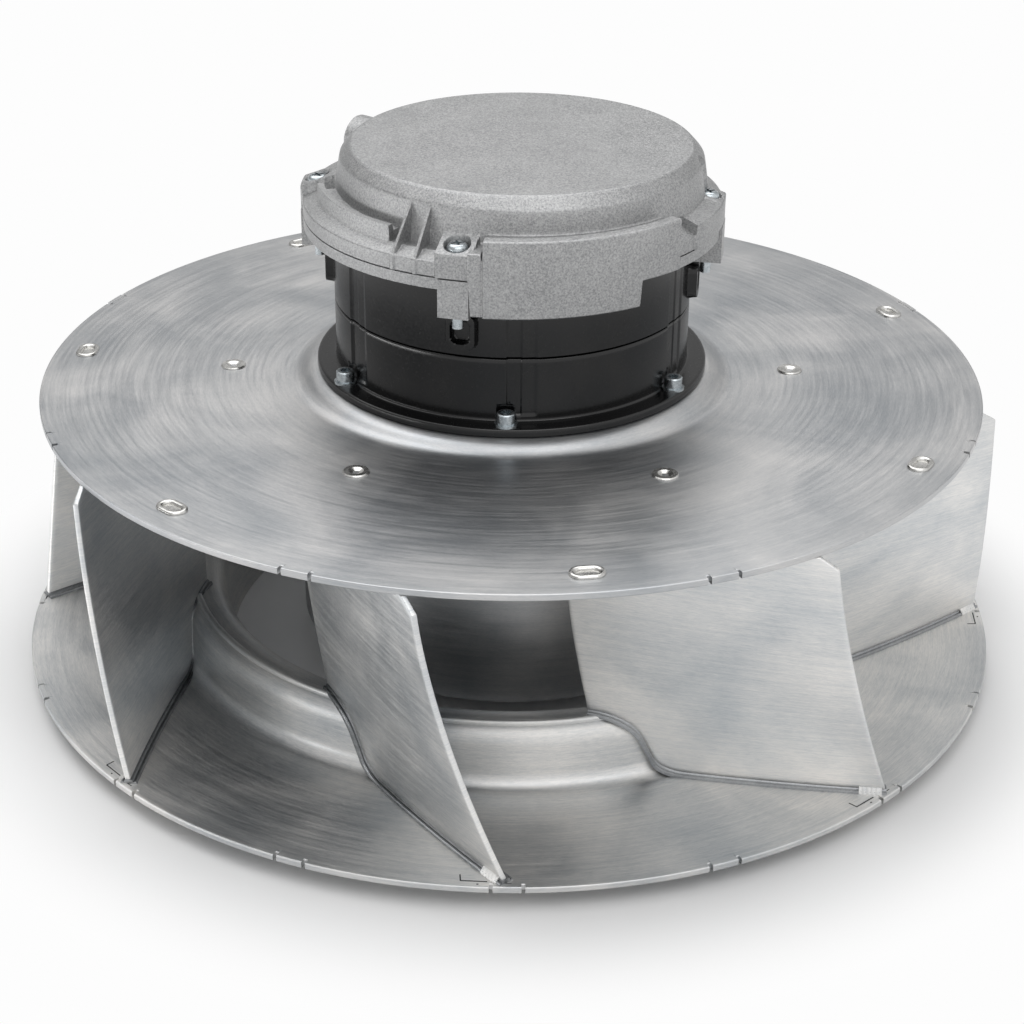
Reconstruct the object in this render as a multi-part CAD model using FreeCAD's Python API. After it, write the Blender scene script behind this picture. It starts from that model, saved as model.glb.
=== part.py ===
"""Plug fan: a backward-curved centrifugal impeller on an external-rotor motor.

The fan stands on its inlet eye, motor upwards. Origin: on the fan's axis, in the plane of the
eye's lower edge. +Z runs up the axis and -Y is the front. All lengths are in millimetres.
An azimuth is an angle in degrees about the axis, from the front, counter-clockwise from above.
"""
import FreeCAD, Part
import math
import os

from FreeCAD import Vector

os.makedirs("parts", exist_ok=True)

# Impeller: back plate, inlet shroud and the channel between them
plate_radius = 225.0
plate_thickness = 3.0
hub_rise = 6.0
hub_step_outer_radius = 103.0
hub_step_inner_radius = 96.0
channel_height = 127.0
rim_radius = 240.5
shroud_thickness = 3.0
rim_height = 9.0
eye_radius = 141.0
eye_length = 8.0
eye_taper = 4.0
collar_radius = 143.0
bead_radius = 11.0
bead_rise = 29.0
bead_fillet_radius = 8.0
bead_slope = 8.0
ridge_radius = 1.5
ridge_angle = 65.0

# Blades
blade_count = 8
blade_thickness = 2.5
blade_inner_radius = 154.0
blade_outer_radius = 237.4
blade_mid_radius = 191.0
blade_wrap = 29.0
blade_mid_wrap = 12.0
blade_lean = 8.0
blade_lean_power = 1.5
blade_head_radius = 231.0
blade_corner_drop = 5.0
foot_lip_width = 2.0
foot_lip_height = 1.6
blade_phase = 0.0
blade_spare = 9.0

# Spun shell round the rotor, inside the impeller
shell_radius = 104.0
shell_thickness = 1.5
hub_ring_radius = 145.0
shell_floor_height = 14.0
shell_corner_radius = 6.0
rivet_count = 6
rivet_circle_radius = 135.0
rivet_phase = 30.0
rivet_shank_radius = 2.4
rivet_head_radius = 6.0
rivet_head_height = 0.9
rivet_tail_radius = 4.5
rivet_edge = 0.5
rivet_dimple_radius = 3.4
rivet_dimple_depth = 1.6

# Clinched tabs along both rims: each is a short bar between two slits
tab_length = 12.0
tab_slit_width = 1.6
tab_slit_depth = 2.5
shroud_tab_turns = (0.0, 22.5)
plate_tab_turns = (22.5,)

# Obround balancing eyelets near the rim of the back plate
eyelet_count = 7
eyelet_circle_radius = 209.3
eyelet_phase = 8.5
eyelet_length = 13.0
eyelet_width = 8.0
eyelet_wall = 1.6
eyelet_collar = 1.2
eyelet_collar_height = 1.4

# Rotor: bell with its bolting flange
flange_radius = 93.5
flange_thickness = 4.0
flange_edge = 0.6
bell_radius = 84.4
bell_wall = 3.9
bell_height = 30.0
bell_body_radius = 76.0
bell_body_wall = 3.5
bell_floor_height = 36.0
bell_floor_thickness = 5.0
bell_floor_edge = 3.0
bell_hub_radius = 16.0
bell_hub_length = 14.0
flute_count = 6
flute_phase = 3.0
flute_width = 13.0
flute_depth = 1.0
flute_shallow_depth = 0.55
flute_foot = 3.0
flute_top = 8.0
screw_count = 6
screw_circle_radius = 88.0
screw_phase = -1.5
screw_scallop_radius = 6.2
screw_scallop_shift = 0.6
screw_scallop_top = 22.0
screw_head_radius = 4.2
screw_head_height = 5.0
screw_head_edge = 0.5
screw_socket_radius = 2.2
screw_socket_depth = 2.6
screw_washer_radius = 5.2
screw_washer_thickness = 1.1
screw_radius = 2.5
screw_spare_thread = 2.0
nut_half_flats = 4.0
nut_height = 4.0

# Magnets, stator and bearings
back_iron_wall = 4.0
magnet_count = 10
magnet_thickness = 4.0
magnet_gap_angle = 2.0
magnet_length = 80.0
back_iron_spare = 2.0
air_gap = 0.8
core_length = 72.0
core_bottom = 56.0
core_yoke_radius = 33.0
tooth_count = 12
tooth_width = 8.0
tooth_tip_thickness = 6.0
slot_mouth = 3.0
coil_build = 3.6
coil_end = 7.0
coil_clearance = 0.2
coil_yoke_gap = 0.9
coil_tip_gap = 0.6
coil_spacing = 0.4
tube_radius = 22.0
tube_shoulder = 1.2
bearing_outer_radius = 17.5
bearing_width = 11.0
bearing_shield_depth = 0.6
bearing_race_wall = 2.2
lower_bearing_bottom = 62.0
upper_bearing_bottom = 190.0
spring_thickness = 1.2
spring_width = 3.8
shaft_radius = 7.5
shaft_spare = 4.0
shaft_edge = 0.8
ring_thickness = 1.1
ring_wall = 2.0
ring_groove_depth = 0.6
ring_opening = 30.0
ring_play = 0.3

# Fixed ring over the rotor
seam_gap = 0.6
ring_top_above_plate = 76.0
ring_seat_thickness = 3.0
ring_seat_radius = 68.0
lug_reach = 4.2
lug_width = 14.0
lug_height = 17.0
lug_window_width = 8.0
lug_window_height = 10.0
lug_window_radius = 2.5
lug_floor = 0.6
lug_foot_radius = 4.0
lug_sill = 3.5
lug_top_below_ring = 14.5

# Motor flange: the lower die casting
band_radius = 97.9
band_thickness = 5.0
gasket_thickness = 1.0
gasket_width = 7.0
gasket_inset = 2.6
boss_width = 14.0
boss_inner_radius = 85.5
boss_outer_radius = 98.9
boss_drop = 12.5
post_count = 4
post_radius = 4.0
post_phase = 45.0
post_circle_radius = 68.0
post_height = 6.0
mount_hole_radius = 2.1
mount_circle_radius = 91.0
mount_azimuths = (-50.0, 40.0, 130.0, 220.0)
lead_hole_radius = 7.0
lead_hole_circle_radius = 44.0

# Electronics cover: the upper die casting
ledge_height = 6.0
ledge_slope = 3.0
ledge_inner_radius = 91.0
dome_shift = 4.0
dome_foot_radius = 87.2
dome_shoulder_radius = 84.4
dome_shoulder_height = 26.0
dome_top_radius = 79.0
dome_height = 32.0
dome_corner_bulge = 0.5
dome_inner_step = 6.0
cover_wall = 3.2
lip_wall = 2.4
lip_gap = 0.2
rib_root_radius = 81.5
shoulder_radius = 100.6
shoulder_height = 18.4
shoulder_edge = 0.8
shoulder_groove_depth = 2.2
shoulder_groove_radius = 95.0
shoulder_groove_slope = 1.0
shoulder_from = -7.5
shoulder_to = 47.5
skirt_to = 34.0
skirt_wall = 2.4
skirt_drop = 16.8
skirt_step_drop = 5.0
link_from = -10.8
link_setback = 1.3
link_wall = 1.1
link_height = 12.0
side_block_from = 56.0
side_block_to = 84.0
side_block_height = 10.5
side_block_rise = 2.5
arc_rib_radius = 91.5
arc_rib_width = 3.5
arc_rib_height = 16.0
arc_rib_backing_drop = 3.0
arc_rib_from = -80.0
arc_rib_to = -36.0
gusset_azimuths = (-32.2, -25.6)
gusset_thickness = 1.8
gusset_foot_radius = 98.5
gusset_foot_height = 5.5
gusset_top_height = 27.0
cover_screw_azimuths = (-15.0, 80.0, 168.0, -92.0)
cover_screw_circle_radius = 91.3
cover_screw_head_radius = 4.75
cover_screw_head_height = 3.6
cover_screw_length = 35.5
cover_screw_slot = 1.2
cover_screw_slot_depth = 1.8
cover_screw_slot_reach = 2.9
cover_screw_slot_turn = 30.0
cover_screw_head_edge = 1.2
cover_screw_head_round = 2.4
pad_width = 17.0
pad_front_height = 10.6
pad_back_height = 17.0
casting_overlap = 1.0
pad_pocket_radius = 5.7
pad_seat_height = 10.2
gland_azimuth = -128.0
gland_boss_radius = 12.0
gland_reach = 9.8
gland_boss_height = 13.5
gland_hole_radius = 6.0
plug_head_radius = 8.0
plug_head_thickness = 2.0
plug_shank_length = 9.0

# Electronics inside the cover
board_radius = 78.0
board_thickness = 1.6
capacitor_radius = 11.0
capacitor_height = 20.0
capacitor_edge = 1.0
capacitor_spots = ((-38.0, 28.0), (-38.0, 4.0), (-38.0, -20.0))
choke_spot = (22.0, 34.0)
choke_radius = 15.0
choke_core_radius = 5.0
terminal_spot = (30.0, -12.0)
terminal_size = (16.0, 40.0, 14.0)
terminal_way_count = 5
terminal_way_radius = 2.4
terminal_way_depth = 4.0
board_screw_head_radius = 3.4
board_screw_head_height = 2.2
board_screw_radius = 1.5
board_screw_length = 6.5

# Clearances
running_clearance = 0.05
screw_hole_clearance = 0.3
body_clearance = 1.0
rivet_clearance = 0.05
board_clearance = 0.2

# Heights that follow from the sizes above
shroud_top = rim_height + shroud_thickness
plate_bottom = shroud_top + channel_height
plate_top = plate_bottom + plate_thickness
hub_bottom = plate_bottom + hub_rise
hub_top = plate_top + hub_rise
flange_top = hub_top + flange_thickness
bell_top = flange_top + bell_height
ring_bottom = bell_top + seam_gap
ring_top = plate_top + ring_top_above_plate
band_top = ring_top + band_thickness
cover_bottom = band_top + gasket_thickness
cover_top = cover_bottom + dome_height

AXIS = Vector(0, 0, 1)
FRONT = Vector(0, -1, 0)
ORIGIN = Vector(0, 0, 0)


def spot(radius, azimuth, height=0.0):
    """The point at a radius, azimuth and height."""
    turn = math.radians(azimuth)
    return Vector(radius * math.sin(turn), -radius * math.cos(turn), height)


def turned_to(shape, azimuth):
    """A shape made at the front, turned about the axis to an azimuth."""
    moved = shape.copy()
    moved.rotate(ORIGIN, AXIS, azimuth)
    return moved


def ring_of(shape, count, phase):
    """Copies of a shape made at the front, evenly spaced round the axis."""
    return [turned_to(shape, phase + 360.0 * k / count) for k in range(count)]


def on_arc(centre, radius, angle):
    """The (radius, height) point of an arc in the half plane, angle from the outward direction."""
    return (centre[0] + radius * math.cos(math.radians(angle)),
            centre[1] + radius * math.sin(math.radians(angle)))


def section(start, *moves):
    """A face in the front half plane. A move is an (r, z) point, or a pair: arc mid, arc end."""
    edges = []
    here = Vector(0, -start[0], start[1])
    first = here
    for move in list(moves) + [start]:
        if isinstance(move[0], tuple):
            middle = Vector(0, -move[0][0], move[0][1])
            there = Vector(0, -move[1][0], move[1][1])
            edges.append(Part.Arc(here, middle, there).toShape())
        else:
            there = Vector(0, -move[0], move[1])
            if there.distanceToPoint(here) < 1e-6:
                continue
            edges.append(Part.makeLine(here, there))
        here = there
    assert here.distanceToPoint(first) < 1e-6
    return Part.Face(Part.Wire(edges))


def bulged(start, end, bulge):
    """An arc move for a section; its middle stands off the chord, to the right, by the bulge."""
    along = (end[0] - start[0], end[1] - start[1])
    length = math.hypot(*along)
    middle = ((start[0] + end[0]) / 2 + bulge * along[1] / length,
              (start[1] + end[1]) / 2 - bulge * along[0] / length)
    return (middle, end)


def turned(face, start=0.0, end=360.0):
    """The solid that a section sweeps from one azimuth to another."""
    return turned_to(face.revolve(ORIGIN, AXIS, end - start), start)


def band(inner, outer, low, high, start=0.0, end=360.0):
    """A ring, or a sector of one, with a rectangular section."""
    return turned(section((inner, low), (outer, low), (outer, high), (inner, high)), start, end)


def post(radius, low, high, centre=ORIGIN):
    """A cylinder along the axis direction from one height to another."""
    return Part.makeCylinder(radius, high - low, Vector(centre.x, centre.y, low), AXIS)


def block(width, inner, outer, low, high):
    """A box at the front: width across, from an inner to an outer radius."""
    return Part.makeBox(width, outer - inner, high - low, Vector(-width / 2, -outer, low))


def obround(length, width, low, high, centre_radius):
    """An upright obround prism at the front, its length along the circumference."""
    half = (length - width) / 2
    bar = Part.makeBox(2 * half, width, high - low, Vector(-half, -width / 2, low))
    ends = [post(width / 2, low, high, Vector(side * half, 0, 0)) for side in (-1, 1)]
    prism = bar.fuse(ends).removeSplitter()
    prism.translate(Vector(0, -centre_radius, 0))
    return prism


def hexagon(half_flats, low, high, centre):
    """A hexagonal prism, flats facing the axis direction's sides."""
    corner = half_flats / math.cos(math.radians(30))
    points = [Vector(centre.x + corner * math.cos(math.radians(60 * k)),
                     centre.y + corner * math.sin(math.radians(60 * k)), low) for k in range(7)]
    return Part.Face(Part.makePolygon(points)).extrude(Vector(0, 0, high - low))


def edges_at(shape, height):
    """The edges that lie flat at a height."""
    return [e for e in shape.Edges
            if abs(e.BoundBox.ZMin - height) < 0.01 and abs(e.BoundBox.ZMax - height) < 0.01]


def save(name, shape):
    """Write one node; a list of solids becomes a group."""
    if isinstance(shape, list):
        shape = Part.makeCompound(shape)
    for solid in shape.Solids:
        assert solid.isValid(), name
    shape.exportStep(os.path.join("parts", name + ".step"))
    box = shape.BoundBox
    print(name, len(shape.Solids), "solids", round(shape.Volume), "mm3, z",
          round(box.ZMin, 2), "to", round(box.ZMax, 2))


def rim_slits(radius, low, high, turns):
    """Pairs of slits beside each rim tab; the turns count from every blade's tip."""
    tools = []
    for start in (-tab_length / 2 - tab_slit_width, tab_length / 2):
        slit = Part.makeBox(tab_slit_width, tab_slit_depth + 1, high - low, Vector(start, -radius - 1, low))
        for turn in turns:
            tools += ring_of(slit, blade_count, blade_phase + turn)
    return tools


# Inlet shroud: flat rim, then a tall rounded bead that turns down into the eye

bead_centre = (collar_radius + bead_radius, shroud_top + bead_rise - bead_radius)
slope = math.radians(bead_slope)
flank_length = (bead_rise - bead_radius - bead_fillet_radius
                + (bead_radius + bead_fillet_radius) * math.sin(slope)) / math.cos(slope)
fillet_centre = (bead_centre[0] + (bead_radius + bead_fillet_radius) * math.cos(slope)
                 + flank_length * math.sin(slope), shroud_top + bead_fillet_radius)


def shroud_points(offset):
    """Points from the rim to the eye, below the flow side by an offset: foot of the fillet, its
    middle and its end, start of the bead's arc, its middle and its end."""
    bead = bead_radius - offset
    fillet = bead_fillet_radius + offset
    return [
        (fillet_centre[0], shroud_top - offset),
        on_arc(fillet_centre, fillet, (270 + 180 + bead_slope) / 2),
        on_arc(fillet_centre, fillet, 180 + bead_slope),
        on_arc(bead_centre, bead, bead_slope),
        on_arc(bead_centre, bead, (180 + bead_slope) / 2),
        on_arc(bead_centre, bead, 180),
    ]


def bead_ridge():
    """The small round ridge pressed along the bead's outer shoulder."""
    radius, height = on_arc(bead_centre, bead_radius, ridge_angle)
    return Part.makeTorus(radius, ridge_radius, Vector(0, 0, height), AXIS)


def inlet_shroud():
    """Spun ring: rim, bead, collar, and a short narrower eye that takes the inlet nozzle."""
    foot, fillet, flank_low, flank_high, bead, eye = shroud_points(0.0)
    under = shroud_points(shroud_thickness)
    taper_angle = math.atan2(collar_radius - eye_radius, eye_taper)
    drop = shroud_thickness * math.tan(taper_angle / 2)
    face = section(
        (rim_radius, shroud_top), foot, (fillet, flank_low), flank_high, (bead, eye),
        (collar_radius, eye_length + eye_taper), (eye_radius, eye_length), (eye_radius, 0.0),
        (eye_radius + shroud_thickness, 0.0), (eye_radius + shroud_thickness, eye_length - drop),
        (collar_radius + shroud_thickness, eye_length + eye_taper - drop), under[5],
        (under[4], under[3]), under[2], (under[1], under[0]),
        (rim_radius, shroud_top - shroud_thickness))
    shroud = turned(face).fuse(bead_ridge()).removeSplitter()
    return shroud.cut(rim_slits(rim_radius, 0, shroud_top + 1, shroud_tab_turns))


# Back plate: a flat disc with its middle pressed up to the motor flange

def back_plate():
    bore = bell_body_radius + body_clearance
    face = section(
        (bore, hub_bottom), (hub_step_inner_radius - plate_thickness / 2, hub_bottom),
        (hub_step_outer_radius - plate_thickness / 2, plate_bottom), (plate_radius, plate_bottom),
        (plate_radius, plate_top), (hub_step_outer_radius, plate_top),
        (hub_step_inner_radius, hub_top), (bore, hub_top))
    plate = turned(face)
    hole = post(screw_radius + screw_hole_clearance, hub_bottom - 1, hub_top + 1,
                spot(screw_circle_radius, 0))
    rivet_hole = post(rivet_shank_radius + rivet_clearance, plate_bottom - 1, plate_top + 1,
                      spot(rivet_circle_radius, 0))
    slot = obround(eyelet_length + 2 * rivet_clearance, eyelet_width + 2 * rivet_clearance,
                   plate_bottom - 1, plate_top + 1, eyelet_circle_radius)
    cuts = ring_of(hole, screw_count, screw_phase)
    cuts += ring_of(rivet_hole, rivet_count, rivet_phase)
    cuts += ring_of(slot, eyelet_count, eyelet_phase)
    cuts += rim_slits(plate_radius, plate_bottom - 1, plate_top + 1, plate_tab_turns)
    return plate.cut(cuts)


# Blades: one arc in plan, turned a little at each height, cut to the channel

def blade_arc():
    """Centre and radius of the circle through the blade's inner, middle and outer plan points."""
    a = spot(blade_inner_radius, -blade_wrap)
    b = spot(blade_mid_radius, -blade_mid_wrap)
    c = spot(blade_outer_radius, 0.0)
    circle = Part.Circle(a, b, c)
    return circle.Center, circle.Radius, a, c


def blade_strip(height, turn, thickness):
    """The blade's closed plan strip at a height, turned about the axis."""
    centre, radius, inner, outer = blade_arc()
    start = math.atan2(inner.y - centre.y, inner.x - centre.x)
    end = math.atan2(outer.y - centre.y, outer.x - centre.x)
    spare = blade_spare / radius
    direction = 1 if (end - start + math.pi) % (2 * math.pi) > math.pi else -1
    sweep = ((end - start) * direction) % (2 * math.pi) * direction
    first = start - direction * spare
    last = start + sweep + direction * spare

    def at(distance, angle):
        return Vector(centre.x + distance * math.cos(angle),
                      centre.y + distance * math.sin(angle), height)

    near = radius - thickness / 2
    far = radius + thickness / 2
    middle = (first + last) / 2
    edges = [
        Part.Arc(at(near, first), at(near, middle), at(near, last)).toShape(),
        Part.makeLine(at(near, last), at(far, last)),
        Part.Arc(at(far, last), at(far, middle), at(far, first)).toShape(),
        Part.makeLine(at(far, first), at(near, first)),
    ]
    return turned_to(Part.Wire(edges), turn)


def blade_foot(rise):
    """Moves along the blade's foot on the shroud, raised a little: crest of the bead to the rim."""
    raised = bead_radius + rise
    crest = math.degrees(math.acos((blade_inner_radius - bead_centre[0]) / raised))
    foot, fillet, flank_low, flank_high, _, _ = shroud_points(-rise)
    return [
        on_arc(bead_centre, raised, crest),
        (on_arc(bead_centre, raised, (bead_slope + crest) / 2), flank_high), flank_low,
        (fillet, foot), (blade_outer_radius, shroud_top + rise),
    ]


def blade_region():
    """The channel that the blades fill, seen in a half plane, turned about the axis."""
    face = section(
        *blade_foot(0.0), (blade_head_radius, plate_bottom - blade_corner_drop),
        (plate_radius, plate_bottom), (blade_inner_radius, plate_bottom))
    return turned(face)


def lip_region():
    """The thin layer on the shroud that a blade's foot lip fills."""
    crest, bead, flank_low, fillet, tip = blade_foot(0.0)
    face = section(
        *blade_foot(foot_lip_height), tip, fillet[1], (fillet[0], flank_low), bead[1],
        (bead[0], crest))
    return turned(face)


def blade_loft(thickness):
    """The rolled and leaning sheet, longer and taller than the channel."""
    wires = []
    steps = 4
    for k in range(steps + 1):
        depth = k / steps
        height = plate_bottom + 1 - (plate_bottom - shroud_top + 2) * depth
        lean = -blade_lean * (1 - depth ** blade_lean_power)
        wires.append(blade_strip(height, lean, thickness))
    return Part.makeLoft(wires, True, False)


def blade_body():
    """One blade: the sheet cut to the channel, with the lip along its foot."""
    sheet = blade_loft(blade_thickness).common(blade_region())
    lip = blade_loft(blade_thickness + 2 * foot_lip_width).common(lip_region())
    return sheet.fuse(lip).cut(bead_ridge()).removeSplitter()


# Spun drum that keeps the air off the rotor, and the flat ring that holds it to the back plate

shell_inner_radius = shell_radius - shell_thickness
shell_top = plate_bottom - shell_thickness


def hub_shell():
    low = shell_floor_height
    floor_top = low + shell_thickness
    corner = (shell_radius - shell_corner_radius, low + shell_corner_radius)
    inner_round = shell_corner_radius - shell_thickness
    face = section(
        (0.0, low), (corner[0], low),
        (on_arc(corner, shell_corner_radius, -45), (shell_radius, corner[1])),
        (shell_radius, shell_top), (shell_inner_radius, shell_top), (shell_inner_radius, corner[1]),
        (on_arc(corner, inner_round, -45), (corner[0], floor_top)), (0.0, floor_top))
    return turned(face)


def hub_ring():
    """Flat ring on the drum's open end, riveted under the back plate."""
    ring = band(shell_inner_radius, hub_ring_radius, shell_top, plate_bottom)
    hole = post(rivet_shank_radius + rivet_clearance, shell_top - 1, plate_bottom + 1,
                spot(rivet_circle_radius, 0))
    return ring.cut(ring_of(hole, rivet_count, rivet_phase))


def hub_rivets():
    """Rivets with a flat dimpled head above the plate and a smaller head below the ring."""
    low = shell_top
    top = plate_top + rivet_head_height
    face = section(
        (0.0, low - rivet_head_height), (rivet_tail_radius, low - rivet_head_height),
        (rivet_tail_radius, low), (rivet_shank_radius, low), (rivet_shank_radius, plate_top),
        (rivet_head_radius, plate_top), (rivet_head_radius, top - rivet_edge),
        (rivet_head_radius - rivet_edge, top), (rivet_dimple_radius, top),
        (0.0, top - rivet_dimple_depth))
    rivet = face.revolve(ORIGIN, AXIS, 360)
    rivet.translate(Vector(0, -rivet_circle_radius, 0))
    return ring_of(rivet, rivet_count, rivet_phase)


def balance_eyelets():
    inner_length = eyelet_length - 2 * eyelet_wall
    inner_width = eyelet_width - 2 * eyelet_wall
    top = plate_top + eyelet_collar_height
    sleeve = obround(eyelet_length, eyelet_width, plate_bottom, top, eyelet_circle_radius)
    collar = obround(eyelet_length + 2 * eyelet_collar, eyelet_width + 2 * eyelet_collar,
                     plate_top, top, eyelet_circle_radius)
    hole = obround(inner_length, inner_width, plate_bottom + eyelet_wall, top + 1,
                   eyelet_circle_radius)
    eyelet = sleeve.fuse(collar).removeSplitter().cut(hole)
    return ring_of(eyelet, eyelet_count, eyelet_phase)


# Rotor

scallop_centre = spot(screw_circle_radius + screw_scallop_shift, 0)


def flutes(low, high):
    """Shallow upright flutes in the black rotor and ring: a deeper left half, a shallower right."""
    reach = 5.0
    tools = []
    for start, depth in ((-flute_width / 2, flute_depth), (0.0, flute_shallow_depth)):
        cutter = Part.makeBox(flute_width / 2, depth + reach, high - low,
                              Vector(start, -bell_radius - reach, low))
        tools += ring_of(cutter, flute_count, flute_phase)
    return tools


def rotor_bell():
    upper_inner = bell_radius - bell_wall
    lower_inner = bell_body_radius - bell_body_wall
    floor_top = bell_floor_height + bell_floor_thickness
    face = section(
        (shaft_radius, bell_floor_height), (bell_body_radius - bell_floor_edge, bell_floor_height),
        (bell_body_radius, bell_floor_height + bell_floor_edge), (bell_body_radius, hub_top),
        (flange_radius, hub_top), (flange_radius, flange_top - flange_edge),
        (flange_radius - flange_edge, flange_top),
        (bell_radius, flange_top), (bell_radius, bell_top), (upper_inner, bell_top),
        (upper_inner, flange_top), (lower_inner, flange_top - bell_wall), (lower_inner, floor_top),
        (bell_hub_radius, floor_top), (bell_hub_radius, floor_top + bell_hub_length),
        (shaft_radius, floor_top + bell_hub_length))
    bell = turned(face)
    hole = post(screw_radius + screw_hole_clearance, hub_top - 1, flange_top + 1,
                spot(screw_circle_radius, 0))
    scallop = post(screw_scallop_radius, flange_top, bell_top - screw_scallop_top, scallop_centre)
    cuts = flutes(flange_top + flute_foot, bell_top + 1)
    cuts += ring_of(hole, screw_count, screw_phase)
    cuts += ring_of(scallop, screw_count, screw_phase)
    return bell.cut(cuts)


def flange_screw():
    """One screw with a socket head and a captive washer, made at the front."""
    centre = spot(screw_circle_radius, 0)
    seat = flange_top
    washer_top = seat + screw_washer_thickness
    head_top = washer_top + screw_head_height
    tip = hub_bottom - nut_height - screw_spare_thread
    shape = post(screw_radius, tip, washer_top, centre)
    shape = shape.fuse(post(screw_washer_radius, seat, washer_top, centre))
    head = post(screw_head_radius, washer_top, head_top, centre)
    head = head.makeChamfer(screw_head_edge, edges_at(head, head_top))
    shape = shape.fuse(head).removeSplitter()
    socket = hexagon(screw_socket_radius, head_top - screw_socket_depth, head_top + 1, centre)
    return shape.cut(socket)


def flange_nut():
    centre = spot(screw_circle_radius, 0)
    body = hexagon(nut_half_flats, hub_bottom - nut_height, hub_bottom, centre)
    bore = post(screw_radius + running_clearance, hub_bottom - nut_height - 1, hub_bottom + 1, centre)
    return body.cut(bore)


iron_radius = bell_body_radius - bell_body_wall
magnet_outer_radius = iron_radius - back_iron_wall
magnet_inner_radius = magnet_outer_radius - magnet_thickness
core_radius = magnet_inner_radius - air_gap
core_top = core_bottom + core_length
core_middle = (core_bottom + core_top) / 2
magnet_low = core_middle - magnet_length / 2
magnet_high = core_middle + magnet_length / 2


def back_iron():
    return band(magnet_outer_radius, iron_radius, magnet_low - back_iron_spare,
                magnet_high + back_iron_spare)


def magnets():
    pitch = 360.0 / magnet_count
    piece = band(magnet_inner_radius, magnet_outer_radius, magnet_low, magnet_high,
                 magnet_gap_angle / 2, pitch - magnet_gap_angle / 2)
    return ring_of(piece, magnet_count, 0)


def stator_core():
    """Laminated core: a yoke with straight teeth that widen at the air gap."""
    yoke = band(tube_radius, core_yoke_radius, core_bottom, core_top)
    tips = band(core_radius - tooth_tip_thickness, core_radius, core_bottom, core_top)
    gap = block(slot_mouth, core_radius - tooth_tip_thickness - 2, core_radius + 2,
                core_bottom - 1, core_top + 1)
    tips = tips.cut(ring_of(gap, tooth_count, 180.0 / tooth_count))
    tooth = block(tooth_width, core_yoke_radius - 2, core_radius - tooth_tip_thickness / 2,
                  core_bottom, core_top)
    return yoke.fuse(ring_of(tooth, tooth_count, 0)).fuse(tips).removeSplitter()


def stator_coils():
    inner = core_yoke_radius + coil_yoke_gap
    outer = core_radius - tooth_tip_thickness - coil_tip_gap
    width = tooth_width + 2 * coil_clearance
    hole = block(width, inner - 1, outer + 1, core_bottom - coil_clearance, core_top + coil_clearance)
    slim = block(width + 2 * coil_build, inner, outer, core_bottom - coil_end, core_top + coil_end)
    half = 180.0 / tooth_count - coil_spacing
    wedge = band(inner - 1, outer + 2, core_bottom - coil_end - 1, core_top + coil_end + 1, -half, half)
    return ring_of(slim.common(wedge).cut(hole), tooth_count, 0)


def bearing_tube():
    """Tube that carries the core outside and both bearings inside."""
    low = lower_bearing_bottom
    middle = bearing_outer_radius - tube_shoulder
    lower_top = lower_bearing_bottom + bearing_width
    shelf = upper_bearing_bottom - spring_thickness
    face = section(
        (bearing_outer_radius, low), (tube_radius, low), (tube_radius, band_top),
        (bearing_outer_radius, band_top), (bearing_outer_radius, shelf), (middle, shelf),
        (middle, lower_top), (bearing_outer_radius, lower_top))
    return turned(face)


def bearing(low):
    """Shielded ball bearing, drawn as one ring with the recess of its shields on both faces."""
    inner = shaft_radius + running_clearance
    high = low + bearing_width
    ring_in = inner + bearing_race_wall
    ring_out = bearing_outer_radius - bearing_race_wall
    face = section(
        (inner, low), (ring_in, low), (ring_in, low + bearing_shield_depth),
        (ring_out, low + bearing_shield_depth), (ring_out, low), (bearing_outer_radius, low),
        (bearing_outer_radius, high), (ring_out, high), (ring_out, high - bearing_shield_depth),
        (ring_in, high - bearing_shield_depth), (ring_in, high), (inner, high))
    return turned(face)


def preload_spring():
    outer = bearing_outer_radius - running_clearance
    return band(outer - spring_width, outer, upper_bearing_bottom - spring_thickness,
                upper_bearing_bottom)


ring_seat = upper_bearing_bottom + bearing_width + ring_play


def shaft():
    top = ring_seat + ring_thickness + shaft_spare
    groove = shaft_radius - ring_groove_depth
    face = section(
        (0.0, bell_floor_height), (shaft_radius, bell_floor_height), (shaft_radius, ring_seat),
        (groove, ring_seat), (groove, ring_seat + ring_thickness),
        (shaft_radius, ring_seat + ring_thickness), (shaft_radius, top - shaft_edge),
        (shaft_radius - shaft_edge, top), (0.0, top))
    return turned(face)


def retaining_ring():
    inner = shaft_radius - ring_groove_depth
    return band(inner, shaft_radius + ring_wall, ring_seat, ring_seat + ring_thickness,
                ring_opening / 2, 360 - ring_opening / 2)


# Fixed black ring with its window lugs

def stator_ring():
    inner = bell_radius - bell_wall
    tube = band(inner, bell_radius, ring_bottom, ring_top)
    seat = band(ring_seat_radius, inner + 1, ring_top - ring_seat_thickness, ring_top)
    ring = tube.fuse(seat)
    top = ring_top - lug_top_below_ring
    lug = block(lug_width, bell_radius - bell_wall / 2, bell_radius + lug_reach, top - lug_height, top)
    upright = [e for e in lug.Edges if e.BoundBox.YLength > lug_reach - 1
               and abs(e.BoundBox.ZMin - (top - lug_height)) < 0.01]
    lug = lug.makeFillet(lug_foot_radius, upright)
    window_low = top - lug_height + lug_sill
    window = block(lug_window_width, bell_radius + lug_floor, bell_radius + lug_reach + 1,
                   window_low, window_low + lug_window_height)
    corners = [e for e in window.Edges if e.BoundBox.YLength > lug_reach - 1]
    window = window.makeFillet(lug_window_radius, corners)
    lug = lug.cut(window)
    for azimuth in cover_screw_azimuths:
        ring = ring.fuse(turned_to(lug, azimuth))
    return ring.cut(flutes(ring_bottom - 1, ring_top - flute_top)).removeSplitter()


# Lower die casting: the band, its screw bosses and the seat of the bearing tube

cover_screw_hole = screw_radius + running_clearance


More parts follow.
